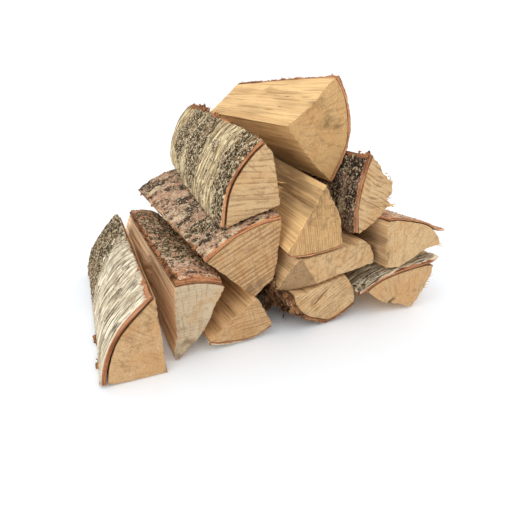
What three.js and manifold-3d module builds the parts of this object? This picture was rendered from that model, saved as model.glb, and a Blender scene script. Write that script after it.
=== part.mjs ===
// A stack of twelve split birch logs, lying with their sawn ends to the front.
// Millimetres and degrees. X to the right, Y away from the front, Z up from the floor.
import * as THREE from 'three';
import Module from 'manifold-3d';

const wasm = await Module();
wasm.setup();

// Driving dimensions
const LENGTH = 255;         // the usual length of a split log
const BARK = 5;             // thickness of the bark
const SNUG = 0.4;           // space between the wood and bark that still holds to it
const CLEAR = 0.3;          // height left under a log that lies on others
const SETTLE = 12;          // how far under its starting height a log may come to rest
const LIFT_STEP = 1;        // steps in which a log is raised until it is clear
const CLOSE_ENOUGH = 0.02;  // how exactly its resting height is found
const UNEVEN = 0.8;         // how far a split face swells and sinks
const TRUNK_SWELL = 1.5;    // how far the outside of a trunk swells and sinks
const BARK_ROUGH = 1;       // height of the thick places on the bark
const ARC_STEPS = 8;        // straight steps round the outside of a log
const BASE_CORNERS = 3;     // corners on the under side of a log that lies on a split face
const LIFTED_SHARE = 0.25;  // share of a strip of bark, at either edge, that may stand off
const STATIONS = [0, 0.13, 0.27, 0.39, 0.43, 0.6, 0.8, 1];  // sections, as shares of the length

// Each log lies in a frame of its own, with Y along it from its sawn front end. The pith,
// the middle of the trunk that it was split from, is at X 0 and Z 0 of that frame.
//   at      where the pith meets the front end: X and Y in the stack, and a height to start from
//   turn    how far the log points to the left of straight back
//   rise    how far the back end is tipped up
//   trunk   radius of the trunk over the bark
//   arc     start and end of the outside of the wood, anticlockwise about the pith
//   backArc the same at the back end, where it differs
//   barkArc the same for the bark, where it stops short of the wood or stands out past it
//   corners the split faces, anticlockwise from the end of the arc back to its start
//   taper   size of the back end, where the front end is 1
//   flat    true for a log with an even under side, which lies on the floor
//   ledge   corners first to last stand out by X and Z, from a share of the length onward
//   loose   space between the wood and bark that has dried and come away from it
//   lift    how far the edges at the start and end of the bark stand off the wood
//   barkThickness, where it is not the usual one
const LOGS = [
  {
    name: 'left_end', at: [-79, -131, -8], turn: -1.5, rise: 0, length: 253, taper: 1,
    trunk: 101, arc: [122, 173], loose: 1.6, barkArc: [122, 174.5], flat: true,
    corners: [[-91, 8], [-70, 8], [-46, 8], [-47, 28], [-49, 60]],
    wood: '#cfa468', bark: '#c9c0ab',
  },
  {
    name: 'left_wedge', at: [-102, -116, -10], turn: 0, rise: 0, length: 264, taper: 0.95,
    trunk: 90, arc: [64, 95], barkArc: [66, 95], loose: 0.8, barkThickness: 6,
    corners: [[-9, 66], [-10, 50], [-10, 36], [-13, 20], [-13, 12], [-8, 13], [8, 27], [20, 42], [26, 56]],
    ledge: { first: 0, last: 1, from: 0.41, by: [-5, 0] },
    wood: '#d6c7a4', bark: '#8a7466',
  },
  {
    name: 'base_left', at: [-49, -116, 64], turn: 3, rise: 0, length: LENGTH, taper: 1,
    trunk: 63, arc: [238, 303], barkThickness: 2.5,
    corners: [[26, -39], [15, -19], [2, -27], [-13, -36]],
    wood: '#cda365', bark: '#cdb9a2',
  },
  {
    name: 'base_middle', at: [47, -119, 50], turn: 2, rise: -0.5, length: LENGTH, taper: 0.96,
    trunk: 50, arc: [191, 313],
    corners: [[31, -23], [24, -9], [17, 0], [1, -2], [-13, -5], [-29, -10]],
    wood: '#d9ba80', bark: '#57493c',
  },
  {
    name: 'base_right', at: [153, -130, -61], turn: -4, rise: 0, length: LENGTH, taper: 0.98,
    trunk: 115, arc: [80, 125], barkArc: [78, 130], loose: 1, barkThickness: 4, lift: [4, 2],
    corners: [[-44, 75], [-24, 69], [-3, 62], [9, 81], [19, 99]],
    wood: '#d4b57e', bark: '#8f8a82',
  },
  {
    name: 'dark_log', at: [8, -104, -35], turn: 2.3, rise: 1.8, length: 262, taper: 1,
    trunk: 156, arc: [95, 126],
    corners: [[-75, 108], [-60, 94], [-46, 81], [-40, 78], [-21, 92], [-18, 107], [-16, 128]],
    wood: '#c7a273', bark: '#6f6058',
  },
  {
    name: 'slab', at: [55, -119, 71], turn: 2.5, rise: 0, length: LENGTH, taper: 0.99,
    corners: [[45, -13], [44, -3], [39, 9], [28, 17], [5, 12], [-47, 7], [-56, -10], [-64, -26],
      [-54, -28], [-26, -22], [13, -16]],
    wood: '#dcc08c',
  },
  {
    name: 'right_upper', at: [117, -129, 20], turn: 0.5, rise: -2, length: LENGTH, taper: 1,
    trunk: 87, arc: [43, 97], barkArc: [42, 98], loose: 1, barkThickness: 2.5, lift: [6, 0],
    corners: [[-11, 60], [-9, 35], [7, 32], [24, 37], [46, 46], [64, 50]],
    wood: '#d8bd8c', bark: '#8b6d58',
  },
  {
    name: 'silver_log', at: [31.5, -104, 110], turn: -3.8, rise: 6, length: 260, taper: 0.98,
    trunk: 94, arc: [126, 181], backArc: [126, 186], loose: 2, barkThickness: 4,
    corners: [[-76, 2], [-58, 8], [-36, 17], [-37, 26], [-39, 40], [-46, 64]],
    wood: '#d9b678', bark: '#b3ab97',
  },
  {
    name: 'centre', at: [16, -127, 177], turn: -3, rise: 3.5, length: 254, taper: 0.98,
    trunk: 98, arc: [259, 293], barkThickness: 2.5,
    corners: [[30, -62], [14, -28], [9, -36], [4, -49], [1, -53], [-9, -70], [-22, -90]],
    wood: '#dcb873', bark: '#8e6a4c',
  },
  {
    name: 'right_dark', at: [182.5, -114, 115], turn: 0.5, rise: 0.5, length: LENGTH, taper: 0.98,
    trunk: 112, arc: [152, 194],
    corners: [[-81, -13], [-67, 0], [-72, 6], [-65, 12], [-66, 24], [-79, 33], [-86, 42]],
    wood: '#dbbf8d', bark: '#4f4741',
  },
  {
    name: 'top', at: [-0.5, -81, 185], turn: -1.5, rise: 1, length: 246, taper: 0.89,
    trunk: 84, arc: [-37, 38],
    corners: [[38, 27], [13, 7], [37, -21]],
    wood: '#e0bb7a', bark: '#7a6252',
  },
];

// Point of a section at a distance and an angle from the pith
function polar(radius, degrees) {
  const angle = THREE.MathUtils.degToRad(degrees);
  return [radius * Math.cos(angle), radius * Math.sin(angle)];
}

// A slow swell between -1 and 1 that never repeats over the stack
function swell(place, along, seed) {
  return 0.6 * Math.sin(1.9 * place + 5.3 * along + 2.7 * seed)
    + 0.4 * Math.sin(3.1 * place - 8.2 * along + 1.3 * seed);
}

// Start and end of an arc at a share of the length
function arcAt(log, front, share) {
  const back = log.backArc ?? front;
  return front.map((degrees, index) => THREE.MathUtils.lerp(degrees, back[index], share));
}

// Radius of the outside of the wood
function woodRadius(log) {
  return log.trunk - (log.barkThickness ?? BARK) - (log.loose ?? SNUG);
}

// The section of the wood at a share of the length: the outside arc, then the split faces
function woodRing(log, share, seed) {
  const size = THREE.MathUtils.lerp(1, log.taper, share);
  const points = [];
  if (log.arc) {
    const [start, end] = arcAt(log, log.arc, share);
    for (let step = 0; step <= ARC_STEPS; step += 1) {
      const degrees = THREE.MathUtils.lerp(start, end, step / ARC_STEPS);
      points.push(polar((woodRadius(log) + trunkSwell(degrees, share, seed)) * size, degrees));
    }
  }
  log.corners.forEach(([x, z], index) => {
    const ledge = log.ledge;
    const raised = ledge && share > ledge.from && index >= ledge.first && index <= ledge.last;
    const [outX, outZ] = raised ? ledge.by : [0, 0];
    const uneven = log.flat && index < BASE_CORNERS ? 0 : UNEVEN * swell(index, share, seed);
    points.push([(x + outX + uneven) * size, (z + outZ) * size]);
  });
  return points;
}

// How far the trunk swells and sinks, the same for the wood and for the bark on it
function trunkSwell(degrees, share, seed) {
  return TRUNK_SWELL * swell(degrees / 18, share, seed);
}

// The section of the bark: its outside, then back along its inside. The ends of a strip
// that has come away stand off by the lift of the log.
function barkRing(log, share, seed) {
  const thickness = log.barkThickness ?? BARK;
  const [start, end] = arcAt(log, log.barkArc ?? log.arc, share);
  const [liftStart, liftEnd] = log.lift ?? [0, 0];
  const size = THREE.MathUtils.lerp(1, log.taper, share);
  const outside = [];
  const inside = [];
  for (let step = 0; step <= ARC_STEPS; step += 1) {
    const part = step / ARC_STEPS;
    const degrees = THREE.MathUtils.lerp(start, end, part);
    const atStart = Math.max(0, 1 - part / LIFTED_SHARE);
    const atEnd = Math.max(0, 1 - (1 - part) / LIFTED_SHARE);
    const lift = liftStart * atStart ** 2 + liftEnd * atEnd ** 2;
    const inner = log.trunk - thickness + trunkSwell(degrees, share, seed) + lift;
    const rough = BARK_ROUGH * Math.max(0, swell(5 * part, 3 * share, seed + 1));
    outside.push(polar((inner + thickness + rough) * size, degrees));
    inside.push(polar(inner * size, degrees));
  }
  return [...outside, ...inside.reverse()];
}

// Closed solid through the sections, with a flat sawn face at each end. From the point
// insideFrom on, the faces are folded the other way, so that bark lies against its wood.
function loft(log, sectionAt, seed, insideFrom = Infinity) {
  const rings = STATIONS.map((share) => sectionAt(log, share, seed));
  const count = rings[0].length;
  const positions = [];
  rings.forEach((ring, index) => {
    for (const [x, z] of ring) {
      positions.push(x, STATIONS[index] * log.length, z);
    }
  });
  const triangles = [];
  for (let ring = 0; ring < rings.length - 1; ring += 1) {
    for (let point = 0; point < count; point += 1) {
      const next = (point + 1) % count;
      const a = ring * count + point;
      const b = ring * count + next;
      if (point < insideFrom) {
        triangles.push(a, a + count, b, b, a + count, b + count);
      } else {
        triangles.push(a, a + count, b + count, a, b + count, b);
      }
    }
  }
  const last = (rings.length - 1) * count;
  const outline = (ring) => ring.map(([x, z]) => new THREE.Vector2(x, z));
  for (const [a, b, c] of THREE.ShapeUtils.triangulateShape(outline(rings[0]), [])) {
    triangles.push(a, b, c);
  }
  for (const [a, b, c] of THREE.ShapeUtils.triangulateShape(outline(rings.at(-1)), [])) {
    triangles.push(last + a, last + c, last + b);
  }
  const geometry = new THREE.BufferGeometry();
  geometry.setAttribute('position', new THREE.Float32BufferAttribute(positions, 3));
  geometry.setIndex(triangles);
  return geometry;
}

function addPiece(group, name, geometry, color, roughness) {
  const material = new THREE.MeshStandardMaterial({ color, roughness, metalness: 0, flatShading: true });
  const mesh = new THREE.Mesh(geometry, material);
  mesh.name = name;
  group.add(mesh);
}

// One log, turned and tipped as it lies, at its starting height
function makeLog(log, seed) {
  const group = new THREE.Group();
  addPiece(group, `${log.name}_wood`, loft(log, woodRing, seed), log.wood, 0.75);
  if (log.arc) {
    addPiece(group, `${log.name}_bark`, loft(log, barkRing, seed, ARC_STEPS + 1), log.bark, 0.9);
  }
  group.position.set(...log.at);
  group.rotation.set(THREE.MathUtils.degToRad(log.rise), 0, THREE.MathUtils.degToRad(log.turn), 'ZXY');
  return group;
}

// The pieces of a log as solids, where the log is now
function solidsOf(group) {
  group.updateMatrixWorld(true);
  return group.children.map((mesh) => {
    const geometry = mesh.geometry.clone().applyMatrix4(mesh.matrixWorld);
    return new wasm.Manifold(new wasm.Mesh({
      numProp: 3,
      vertProperties: new Float32Array(geometry.attributes.position.array),
      triVerts: new Uint32Array(geometry.index.array),
    }));
  });
}

function meets(group, others) {
  const solids = solidsOf(group);
  return solids.some((solid) => others.some((other) => !solid.intersect(other).isEmpty()));
}

// Rest a log on the floor or on the logs below: from a little under its starting height,
// raise it until it is clear of them all
function letRest(group, below) {
  const floor = group.position.z - new THREE.Box3().setFromObject(group, true).min.z;
  let low = Math.max(floor, group.position.z - SETTLE);
  group.position.z = low;
  if (!meets(group, below)) {
    return;
  }
  while (meets(group, below)) {
    low = group.position.z;
    group.position.z += LIFT_STEP;
  }
  let high = group.position.z;
  while (high - low > CLOSE_ENOUGH) {
    group.position.z = (low + high) / 2;
    if (meets(group, below)) {
      low = group.position.z;
    } else {
      high = group.position.z;
    }
  }
  group.position.z = high + CLEAR;
}

const stack = new THREE.Group();
const placed = [];
LOGS.forEach((log, index) => {
  const group = makeLog(log, index + 1);
  letRest(group, placed);
  stack.add(group);
  placed.push(...solidsOf(group));
});

// The origin is on the floor under the middle of the stack
const middle = new THREE.Box3().setFromObject(stack, true).getCenter(new THREE.Vector3());
stack.position.set(-middle.x, -middle.y, 0);
stack.updateMatrixWorld(true);

export default stack;
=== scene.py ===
"""A loose stack of split birch logs with their bark, on a white floor.

Lengths in the tables are millimetres. The log frame has X to the right, Y along the log from
its sawn front end and Z up, with the pith of the trunk at X 0 and Z 0. Where noise is read, each
coordinate is divided by the millimetres over which the pattern changes, and the last number is
its seed.
"""
import math

import bpy
import numpy as np
from bpy.props import FloatProperty, FloatVectorProperty, IntProperty, PointerProperty
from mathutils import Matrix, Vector
from mathutils.geometry import delaunay_2d_cdt


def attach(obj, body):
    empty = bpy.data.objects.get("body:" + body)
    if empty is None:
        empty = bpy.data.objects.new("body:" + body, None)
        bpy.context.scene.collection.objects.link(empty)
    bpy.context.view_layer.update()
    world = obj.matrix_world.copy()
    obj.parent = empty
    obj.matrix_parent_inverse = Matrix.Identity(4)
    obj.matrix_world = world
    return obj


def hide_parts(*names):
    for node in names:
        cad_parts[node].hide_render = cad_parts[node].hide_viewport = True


bl_info = {
    "name": "Split birch stack",
    "version": (1, 0, 0),
    "blender": (4, 5, 0),
    "location": "View3D > Sidebar > Firewood",
    "description": "Dresses a stack of split birch logs with riven wood and bark",
    "category": "Add Mesh",
}

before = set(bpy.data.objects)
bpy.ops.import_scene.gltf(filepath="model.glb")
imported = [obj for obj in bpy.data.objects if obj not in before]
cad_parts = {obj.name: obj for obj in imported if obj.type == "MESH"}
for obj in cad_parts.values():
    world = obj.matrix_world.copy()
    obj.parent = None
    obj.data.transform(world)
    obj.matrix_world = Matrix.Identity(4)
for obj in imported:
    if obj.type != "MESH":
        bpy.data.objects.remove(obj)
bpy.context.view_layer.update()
MM = 0.001

# How each log lies, and what its faces show.
#   pith      where the middle of its trunk meets the front end, in the row frame
#   turn      degrees that it points to the left of straight back
#   rise      degrees that its back end is tipped up
#   trunk     radius of the trunk over the bark
#   wood      its kind of wood in WOODS, and under "bark" its kind of bark in BARKS
#   rings     X and Z of the middle of its growth rings, where that isn't the pith
#   saw       saw lines on the ends: degrees from level, strength, mm apart, how wavy they are
#   riven     how strongly the split faces are stepped
#   checks    drying cracks, painted with shade inside: X, Z, start and end along the log, width, depth
#   cracks    cracks across the front end: X and Z of both ends, width, strength of their depth and of the painted shade in them
#   stains    brown stains: X, Y, Z, radius, how many times longer along the log, strength
#   peel      places where the outer bark is gone: side, width, and the share of the side
#   moss      dark patches on the bark: share round the strip, Y, radius, strength
#   ragged    how far the edges of the strip of bark wander
#   rough     how rough its cork is, as a share of the usual relief
#   curl      how far the edges at the start and end of the strip curl up
#   facet     where a corner of the front end has split off: a line in X and Z, and how steeply
#             the wood falls back on the left of it
#   splinters rows along a torn edge: first and last point, the way that they point, count, size
#   flakes    loose bark on an edge of the strip: which edge, first and last Y, count, size
#   strands   frayed bark: first and last Y, first and last share round the strip, how far out it
#             stands, count, size
#   tatters   the same for torn pieces of bark
LOGS = {
    "left_end": {
        "pith": (-86, -147, -8), "turn": -1.5, "rise": 0, "trunk": 101, "wood": "tan", "bark": "white",
        "saw": (34, 0.22, 4, 1), "riven": 0.6, "ragged": 1.5,
        "cracks": [(-80, 50, -66, 28, 0.6, 0.45), (-66, 60, -52, 36, 0.5, 0.35)],
        "peel": [("start", 7, 0.0, 0.13), ("start", 1.5, 0.0, 0.9)],
        "moss": [(0.30, 210, 48, 1.2), (0.05, 235, 46, 1.1), (0.66, 225, 48, 1.2), (0.85, 165, 36, 0.9)],
        "stains": [(-58, 0, 66, 16, 1, 0.4), (-72, 0, 34, 20, 1, 0.3), (-40, 0, 12, 14, 1, 0.3)],
        "flakes": [("end", 0, 90, 7, 0.9), ("start", 10, 200, 9, 0.6)],
    },
    "left_wedge": {
        "pith": (-109, -132, -11), "turn": 0, "rise": 0, "trunk": 90, "wood": "grey", "bark": "brown",
        "saw": (1, 0.45, 2.6, 0.6), "riven": 0.7, "ragged": 3,
        "checks": [(-11, 40, 5, 120, 0.8, 2.0), (-11, 28, 60, 250, 0.9, 2.4),
                   (-11, 58, 108, 122, 2.4, 6)],
        "peel": [("end", 6, 0.0, 1.0), ("front", 5, 0.0, 1.0)],
        # the patches near the start edge are partly dark lichen and partly painted shade where the next
        # log overhangs the bark
        "moss": [(0.08, 70, 40, 1.0), (0.08, 150, 60, 1.0), (0.2, 240, 50, 0.8)],
        "stains": [(-8, 0, 15, 13, 1, 0.8), (-12, 0, 42, 7, 1, 0.5), (4, 0, 52, 9, 1, 0.35),
                   (2, 0, 27, 6, 1, 0.5)],
        "splinters": [((-11, 110, 57), (-11, 117, 61), (-1, -0.4, 0.6), 6, 1.0),
                      ((-13, 1, 12), (-8, 1, 13), (-0.3, -0.6, -0.4), 4, 0.6)],
        "flakes": [("end", 4, 250, 26, 0.8), ("start", 60, 250, 6, 0.6)],
    },
    "base_left": {
        "pith": (-56, -132, 64), "turn": 3, "rise": 0, "trunk": 63, "wood": "tan", "bark": "white",
        "saw": (0, 0.85, 3.4, 0.9), "riven": 0.9, "ragged": 3,
        "checks": [(-6, -32, 0, 90, 0.8, 1.4)],
        "peel": [("front", 4, 0.5, 1.0)],
        "stains": [(-4, 0, -50, 14, 1, 0.3)],
        "flakes": [("start", 0, 150, 8, 0.5)],
    },
    "base_middle": {
        "pith": (40, -135, 51), "turn": 2, "rise": -0.5, "trunk": 50, "wood": "pale", "bark": "frayed",
        "saw": (29, 0.80, 3.3, 0.4), "riven": 0.7, "ragged": 6,
        "cracks": [(-19, -24, 3, -4, 1.0, 1.3)],
        "peel": [("front", 3, 0.1, 0.2), ("front", 2.5, 0.5, 1.0)],
        "stains": [(-22, 0, -26, 12, 1, 0.4), (6, 0, -8, 9, 1, 0.3)],
        "flakes": [("start", 0, 30, 10, 0.9), ("end", 0, 100, 6, 0.7)],
        "strands": [(3, 30, -0.05, 0.25, 4, 120, 0.8), (14, 150, -0.12, 0.30, 11, 420, 1.25)],
        "tatters": [(12, 150, -0.1, 0.3, 10, 90, 1.6), (0, 12, 0.12, 0.3, 3, 12, 0.8)],
    },
    "base_right": {
        "pith": (146, -146, -61), "turn": -4, "rise": 0, "trunk": 115, "wood": "tan", "bark": "white",
        "saw": (52, 0.30, 5, 0.8), "riven": 0.8, "ragged": 4, "rough": 0.5, "curl": (3, 2),
        "peel": [("front", 5, 0.0, 0.55), ("end", 4, 0.0, 0.7)],
        "moss": [(1.0, 12, 11, 1.0), (0.8, 78, 34, 0.95), (0.5, 130, 50, 0.9)],
        "cracks": [(-35, 73, -28, 78, 2.2, 1.3), (-41, 90, -35, 94, 1.2, 0.7)],
        "stains": [(-30, 0, 74, 7, 1, 0.3), (6, 0, 80, 30, 1, 0.2)],
        "splinters": [((8, 1, 80), (19, 1, 98), (1, -0.3, 0.2), 9, 0.6)],
        "flakes": [("start", 0, 120, 10, 0.9), ("end", 0, 80, 8, 0.7)],
    },
    "dark_log": {
        "pith": (1, -120, -34), "turn": 2.3, "rise": 1.8, "trunk": 156, "wood": "tan", "bark": "grey",
        "saw": (25, 1.50, 4.2, 0.5), "riven": 0.6, "ragged": 3,
        "peel": [("front", 2.5, 0.0, 1.0), ("end", 3.5, 0.2, 0.8)],
        "moss": [(0.3, 235, 40, 0.3), (0.7, 60, 30, 0.6), (0.3, 30, 34, 0.8)],
        "stains": [(-38, 0, 90, 8, 1, 0.9), (-48, 0, 83, 6, 1, 0.8), (-36, 0, 118, 26, 1, 0.2)],
        "flakes": [("end", 0, 250, 16, 0.7)],
    },
    "slab": {
        "pith": (48, -135, 71), "turn": 2.5, "rise": 0, "trunk": 120, "wood": "pale",
        "rings": (-30, -160), "saw": (30, 0.40, 5.5, 0.6), "riven": 0.7, "facet": (-43, 7, -26, -20, 0.42),
        "checks": [(-62, -20, 0, 140, 0.8, 1.4)],
        "stains": [(0, 0, 0, 60, 1, 0.33)],
        "splinters": [((5, 0.5, 12), (39, 0.5, 10), (0.2, -0.8, 0.7), 20, 0.5)],
    },
    "right_upper": {
        "pith": (110, -145, 21), "turn": 0.5, "rise": -2, "trunk": 87, "wood": "pale", "bark": "brown",
        "saw": (27, 0.35, 3.6, 0.8), "riven": 1.0, "ragged": 3, "curl": (4, 0),
        "checks": [(-10, 48, 0, 170, 0.9, 2.0)],
        "peel": [("front", 4, 0.0, 1.0)],
        "moss": [(0.5, 120, 120, 0.5)],
        # the first two stains are painted shade on the left face, in the recess beside the slab
        "stains": [(-26, 50, 34, 21, 6, 1.1), (-26, 50, 60, 21, 6, 1.1), (12, 0, 58, 7, 1, 0.2)],
        "splinters": [((58, 1, 47), (64, 3, 50), (1, -0.2, 0.1), 9, 1.0),
                      ((24, 0, 37), (46, 0, 46), (0.3, -1, -0.2), 5, 0.5)],
        "flakes": [("start", 0, 150, 10, 1.0)],
    },
    "silver_log": {
        "pith": (24, -120, 113), "turn": -3.8, "rise": 6, "trunk": 94, "wood": "pale", "bark": "silver",
        "saw": (-1, 0.75, 4.8, 1.3), "riven": 0.7, "ragged": 3,
        "checks": [(-60, 8, 0, 30, 0.8, 1.6)],
        "peel": [("start", 9, 0.72, 1.0), ("start", 4.5, 0.3, 0.8), ("front", 2, 0.0, 1.0)],
        "moss": [(0.15, 20, 30, 1.0), (0.45, 15, 26, 1.0), (0.75, 12, 23, 1.0), (0.2, 140, 29, 1.0),
                 (0.45, 134, 26, 1.0), (0.7, 128, 22, 0.9), (0.3, 200, 28, 1.0), (0.6, 205, 23, 0.9),
                 (0.35, 78, 12, 0.5), (0.85, 70, 14, 0.6)],
        "stains": [(-50, 0, 40, 20, 1, 0.1)],
        "splinters": [((-37, 1, 22), (-38, 3, 38), (1, -0.3, 0.3), 8, 0.8)],
        "flakes": [("start", 120, 240, 14, 1.0), ("start", 0, 110, 5, 0.6)],
    },
    "centre": {
        "pith": (9, -143, 177), "turn": -3, "rise": 3.5, "trunk": 98, "wood": "yellow", "bark": "brown",
        "saw": (-80, 0.75, 2.2, 0.5), "riven": 0.35, "ragged": 2.5,
        "checks": [(3, -50, 0, 250, 1.0, 2.0), (-6, -66, 10, 200, 0.7, 1.0)],
        "peel": [("front", 3, 0.0, 1.0)],
        # the first stain is partly a brown stain and partly painted shade under the top log on the upper
        # left face
        "stains": [(8, 90, -36, 30, 5, 0.9), (16, 0, -60, 16, 1, 0.1)],
        "splinters": [((14, 0, -28), (9, 0, -36), (0.6, -0.8, 0.1), 4, 0.4)],
        "flakes": [("start", 0, 200, 6, 0.5)],
    },
    "right_dark": {
        "pith": (175, -130, 118), "turn": 0.5, "rise": 0.5, "trunk": 112, "wood": "pale", "bark": "dark",
        "saw": (-30, 0.90, 4.5, 1.7), "riven": 1.0, "ragged": 4,
        "peel": [("start", 7, 0.0, 1.0), ("front", 4, 0.0, 1.0)],
        "moss": [(0.5, 90, 90, 0.6)],
        "stains": [(-84, 0, 20, 14, 1, 0.15)],
        "splinters": [((-68, 1, -1), (-67, 6, 7), (0.9, -0.5, 0.2), 7, 1.3),
                      ((-66, 2, 13), (-66, 8, 24), (1, -0.3, 0.3), 9, 0.8),
                      ((-67, 3, 24), (-84, 4, 41), (0.7, -0.3, 0.7), 10, 0.6),
                      ((-68, 0, -1), (-79, 1, -11), (0.8, -0.5, -0.3), 7, 0.6)],
        "flakes": [("start", 0, 200, 14, 0.9)],
    },
    "top": {
        "pith": (-8, -97, 188), "turn": -1.5, "rise": 1, "trunk": 84, "wood": "yellow", "bark": "brown",
        "saw": (51, 0.12, 4, 1), "riven": 0.4, "ragged": 2, "rough": 0.4,
        "checks": [(21, 12, 30, 150, 0.6, 1.4), (27, 18, 60, 200, 0.5, 1.2), (32, 22, 40, 130, 0.55, 1.3),
                   (38, 27, 90, 235, 0.5, 1.1), (44, 32, 10, 110, 0.5, 1.0), (52, 40, 60, 180, 0.5, 1.0),
                   (24, -5, 0, 200, 0.6, 0.8)],
        "peel": [("front", 3, 0.0, 1.0)],
        "stains": [(56, 0, 12, 15, 1, 0.50), (67, 0, 6, 7, 1, 0.45), (44, 0, 29, 10, 1, 0.35),
                   (46, 0, -5, 8, 1, 0.3), (33, 0, 17, 3, 1, 1.0), (24, 120, 0, 30, 5, 0.1)],
        "flakes": [("end", 10, 240, 16, 0.35)],
    },
}

# The record's slot that each kind of wood takes, and the colours of its split face, the darker
# fibres in it and its sawn end
WOODS = {
    "tan": ("tan_wood", "#d8b281", "#a67a4c", "#be9b71"),
    "pale": ("pale_wood", "#dcb889", "#a87e51", "#c8a97e"),
    "yellow": ("yellow_wood", "#e6c189", "#b58752", "#c19b69"),
    # the split face and fibre colours of grey are lighter than the wood itself: painted light for
    # left_wedge's left face, in the narrow gap beside left_end
    "grey": ("grey_wood", "#f0cda4", "#cba074", "#b9aa8e"),
}
# The record's slot of each kind of bark, 1 where the skin is papery or 0 where it is rough cork,
# its colours, and how much more of it than usual is dark
BARKS = {
    "white": {"slot": "white_bark", "papery": 1, "mid": "#a8926e", "pale": "#ede1c7", "dark": "#584b3d",
              "worn": "#776a56", "rim": "#ad7350", "cover": 0.01},
    "silver": {"slot": "white_bark", "papery": 1, "mid": "#937549", "pale": "#e4d1a8", "dark": "#33281b",
               "worn": "#715c40", "rim": "#c6855a", "cover": 0.015},
    "grey": {"slot": "grey_bark", "papery": 0, "mid": "#98785f", "pale": "#d3bd9b", "dark": "#2f261e",
             "worn": "#b48a70", "rim": "#c3865b", "cover": 0.02},
    "brown": {"slot": "brown_bark", "papery": 0, "mid": "#b98d70", "pale": "#dfc2a6", "dark": "#3f2b1f",
              "worn": "#bd8461", "rim": "#bb835a", "cover": -0.04},
    "dark": {"slot": "dark_bark", "papery": 0, "mid": "#6a594b", "pale": "#b9a788", "dark": "#241c16",
             "worn": "#7a5c4a", "rim": "#ab7a57", "cover": 0.04},
    "frayed": {"slot": "dark_bark", "papery": 0, "mid": "#73543a", "pale": "#b08a66", "dark": "#2a1d13",
               "worn": "#68452e", "rim": "#8a6142", "cover": 0.04},
}
SECTION_GAP = 1.0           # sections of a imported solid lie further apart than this
CORNER_TURN = 18.0          # degrees past which a point of a section is a split corner
SOFT_EDGE = 50.0            # degrees up to which an edge between two faces is shaded smooth
NEAR_END = (0, 0.6, 1.6, 3.0, 5.0)      # places of the first rings of points from a sawn end
UNDER_BARK = 13.0           # the wood this close to the trunk's outside lies under its bark
FACET_REACH = 45.0          # how far along a log the loss of a split-off corner can be felt
CRACK_DEPTH = 1.2           # depth of a full crack across a sawn end
TORN_STEP = 0.35            # wood that steps more than this from point to point shows as torn
RING_WIDTH = 2.6            # width of a growth ring
GRAIN_SHIFT = 311.0         # how far along the grain one log's pattern lies from the next one's
TRUNK_SHIFT = (50, 40)      # the same round and along the trunk, for the pattern of the bark
BARK_PROUD = 1.1            # how far the relief of the bark may stand out from its solid
BARK_SUNK = 0.62            # share of the bark's thickness that its relief may go in
CURL_REACH = 11.0           # width of the edge of a strip of bark that curls up
RIM_GRID = 1.1              # spacing of points on the sawn rim of the bark
CAMERA_PLACE = (-181.4, -444.3, 222.0)  # where the photograph was taken from
CAMERA_TURN = (67.7, 0.0, -25.0)        # degrees about X, Y and Z
FLOOR_REACH = 6.0           # metres from the middle of the floor to its sides
FLOOR_DROP = 0.0003         # metres that the floor lies lower, so that the logs don't flicker


def colour(code):
    """Linear RGBA of an sRGB hex value."""
    parts = [int(code[i:i + 2], 16) / 255 for i in (1, 3, 5)]
    return [c / 12.92 if c <= 0.04045 else ((c + 0.055) / 1.055) ** 2.4 for c in parts] + [1.0]


# Sizes and colours that a user would change


class WoodSizes(bpy.types.PropertyGroup):
    across: FloatProperty(name="Across", description="Spacing of points round a split face, in mm",
                          default=0.9, min=0.3, max=5)
    along: FloatProperty(name="Along", description="Spacing of points along the grain, in mm",
                         default=3.4, min=0.5, max=20)
    end_grid: FloatProperty(name="End grid", description="Spacing of points on a sawn end, in mm",
                            default=1.2, min=0.5, max=10)
    wander: FloatProperty(name="Wander", description="How far a split edge wanders, in mm",
                          default=0.9, min=0, max=4)
    steps: FloatProperty(name="Steps", description="Height of the steps of a riven face, in mm",
                         default=0.8, min=0, max=4)
    fibres: FloatProperty(name="Fibres", description="Height of the fibres on a riven face, in mm",
                          default=0.38, min=0, max=2)
    saw: FloatProperty(name="Saw marks", description="Depth of the saw marks, in mm",
                       default=0.28, min=0, max=2)


class BarkSizes(bpy.types.PropertyGroup):
    grid: FloatProperty(name="Grid", description="Spacing of points on the bark, in mm",
                        default=1.15, min=0.4, max=6)
    paper: FloatProperty(name="Paper relief", description="Relief of the papery skin, in mm",
                         default=0.7, min=0, max=3)
    rough: FloatProperty(name="Rough relief", description="Relief of the old rough bark, in mm",
                         default=1.8, min=0, max=5)
    peeled: FloatProperty(name="Peeled", description="Share of the bark that is gone where it has peeled",
                          default=0.45, min=0, max=0.9)
    shade: FloatVectorProperty(name="Old inner bark", description="Colour of the dried inner bark",
                               subtype="COLOR", size=4, default=colour("#7b5237"), min=0, max=1)


class LooseBits(bpy.types.PropertyGroup):
    crumbs: FloatProperty(name="Crumbs", description="Crumbs of lichen and bark for each square metre",
                          default=46000, min=0, max=200000)
    crumb_size: FloatProperty(name="Crumb size", description="Size of a crumb", subtype="DISTANCE",
                              default=0.0019, min=0.0002, max=0.01)
    splinter_length: FloatProperty(name="Splinter length", description="Length of a splinter",
                                   subtype="DISTANCE", default=0.006, min=0.001, max=0.03)
    flake_size: FloatProperty(name="Flake size", description="Size of a curled flake of bark",
                              subtype="DISTANCE", default=0.0055, min=0.001, max=0.03)
    strand_length: FloatProperty(name="Strand length", description="Length of a frayed strand of bark",
                                 subtype="DISTANCE", default=0.009, min=0.001, max=0.03)
    seed: IntProperty(name="Seed", description="Seed of the scattered pieces", default=7, min=0)


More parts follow.
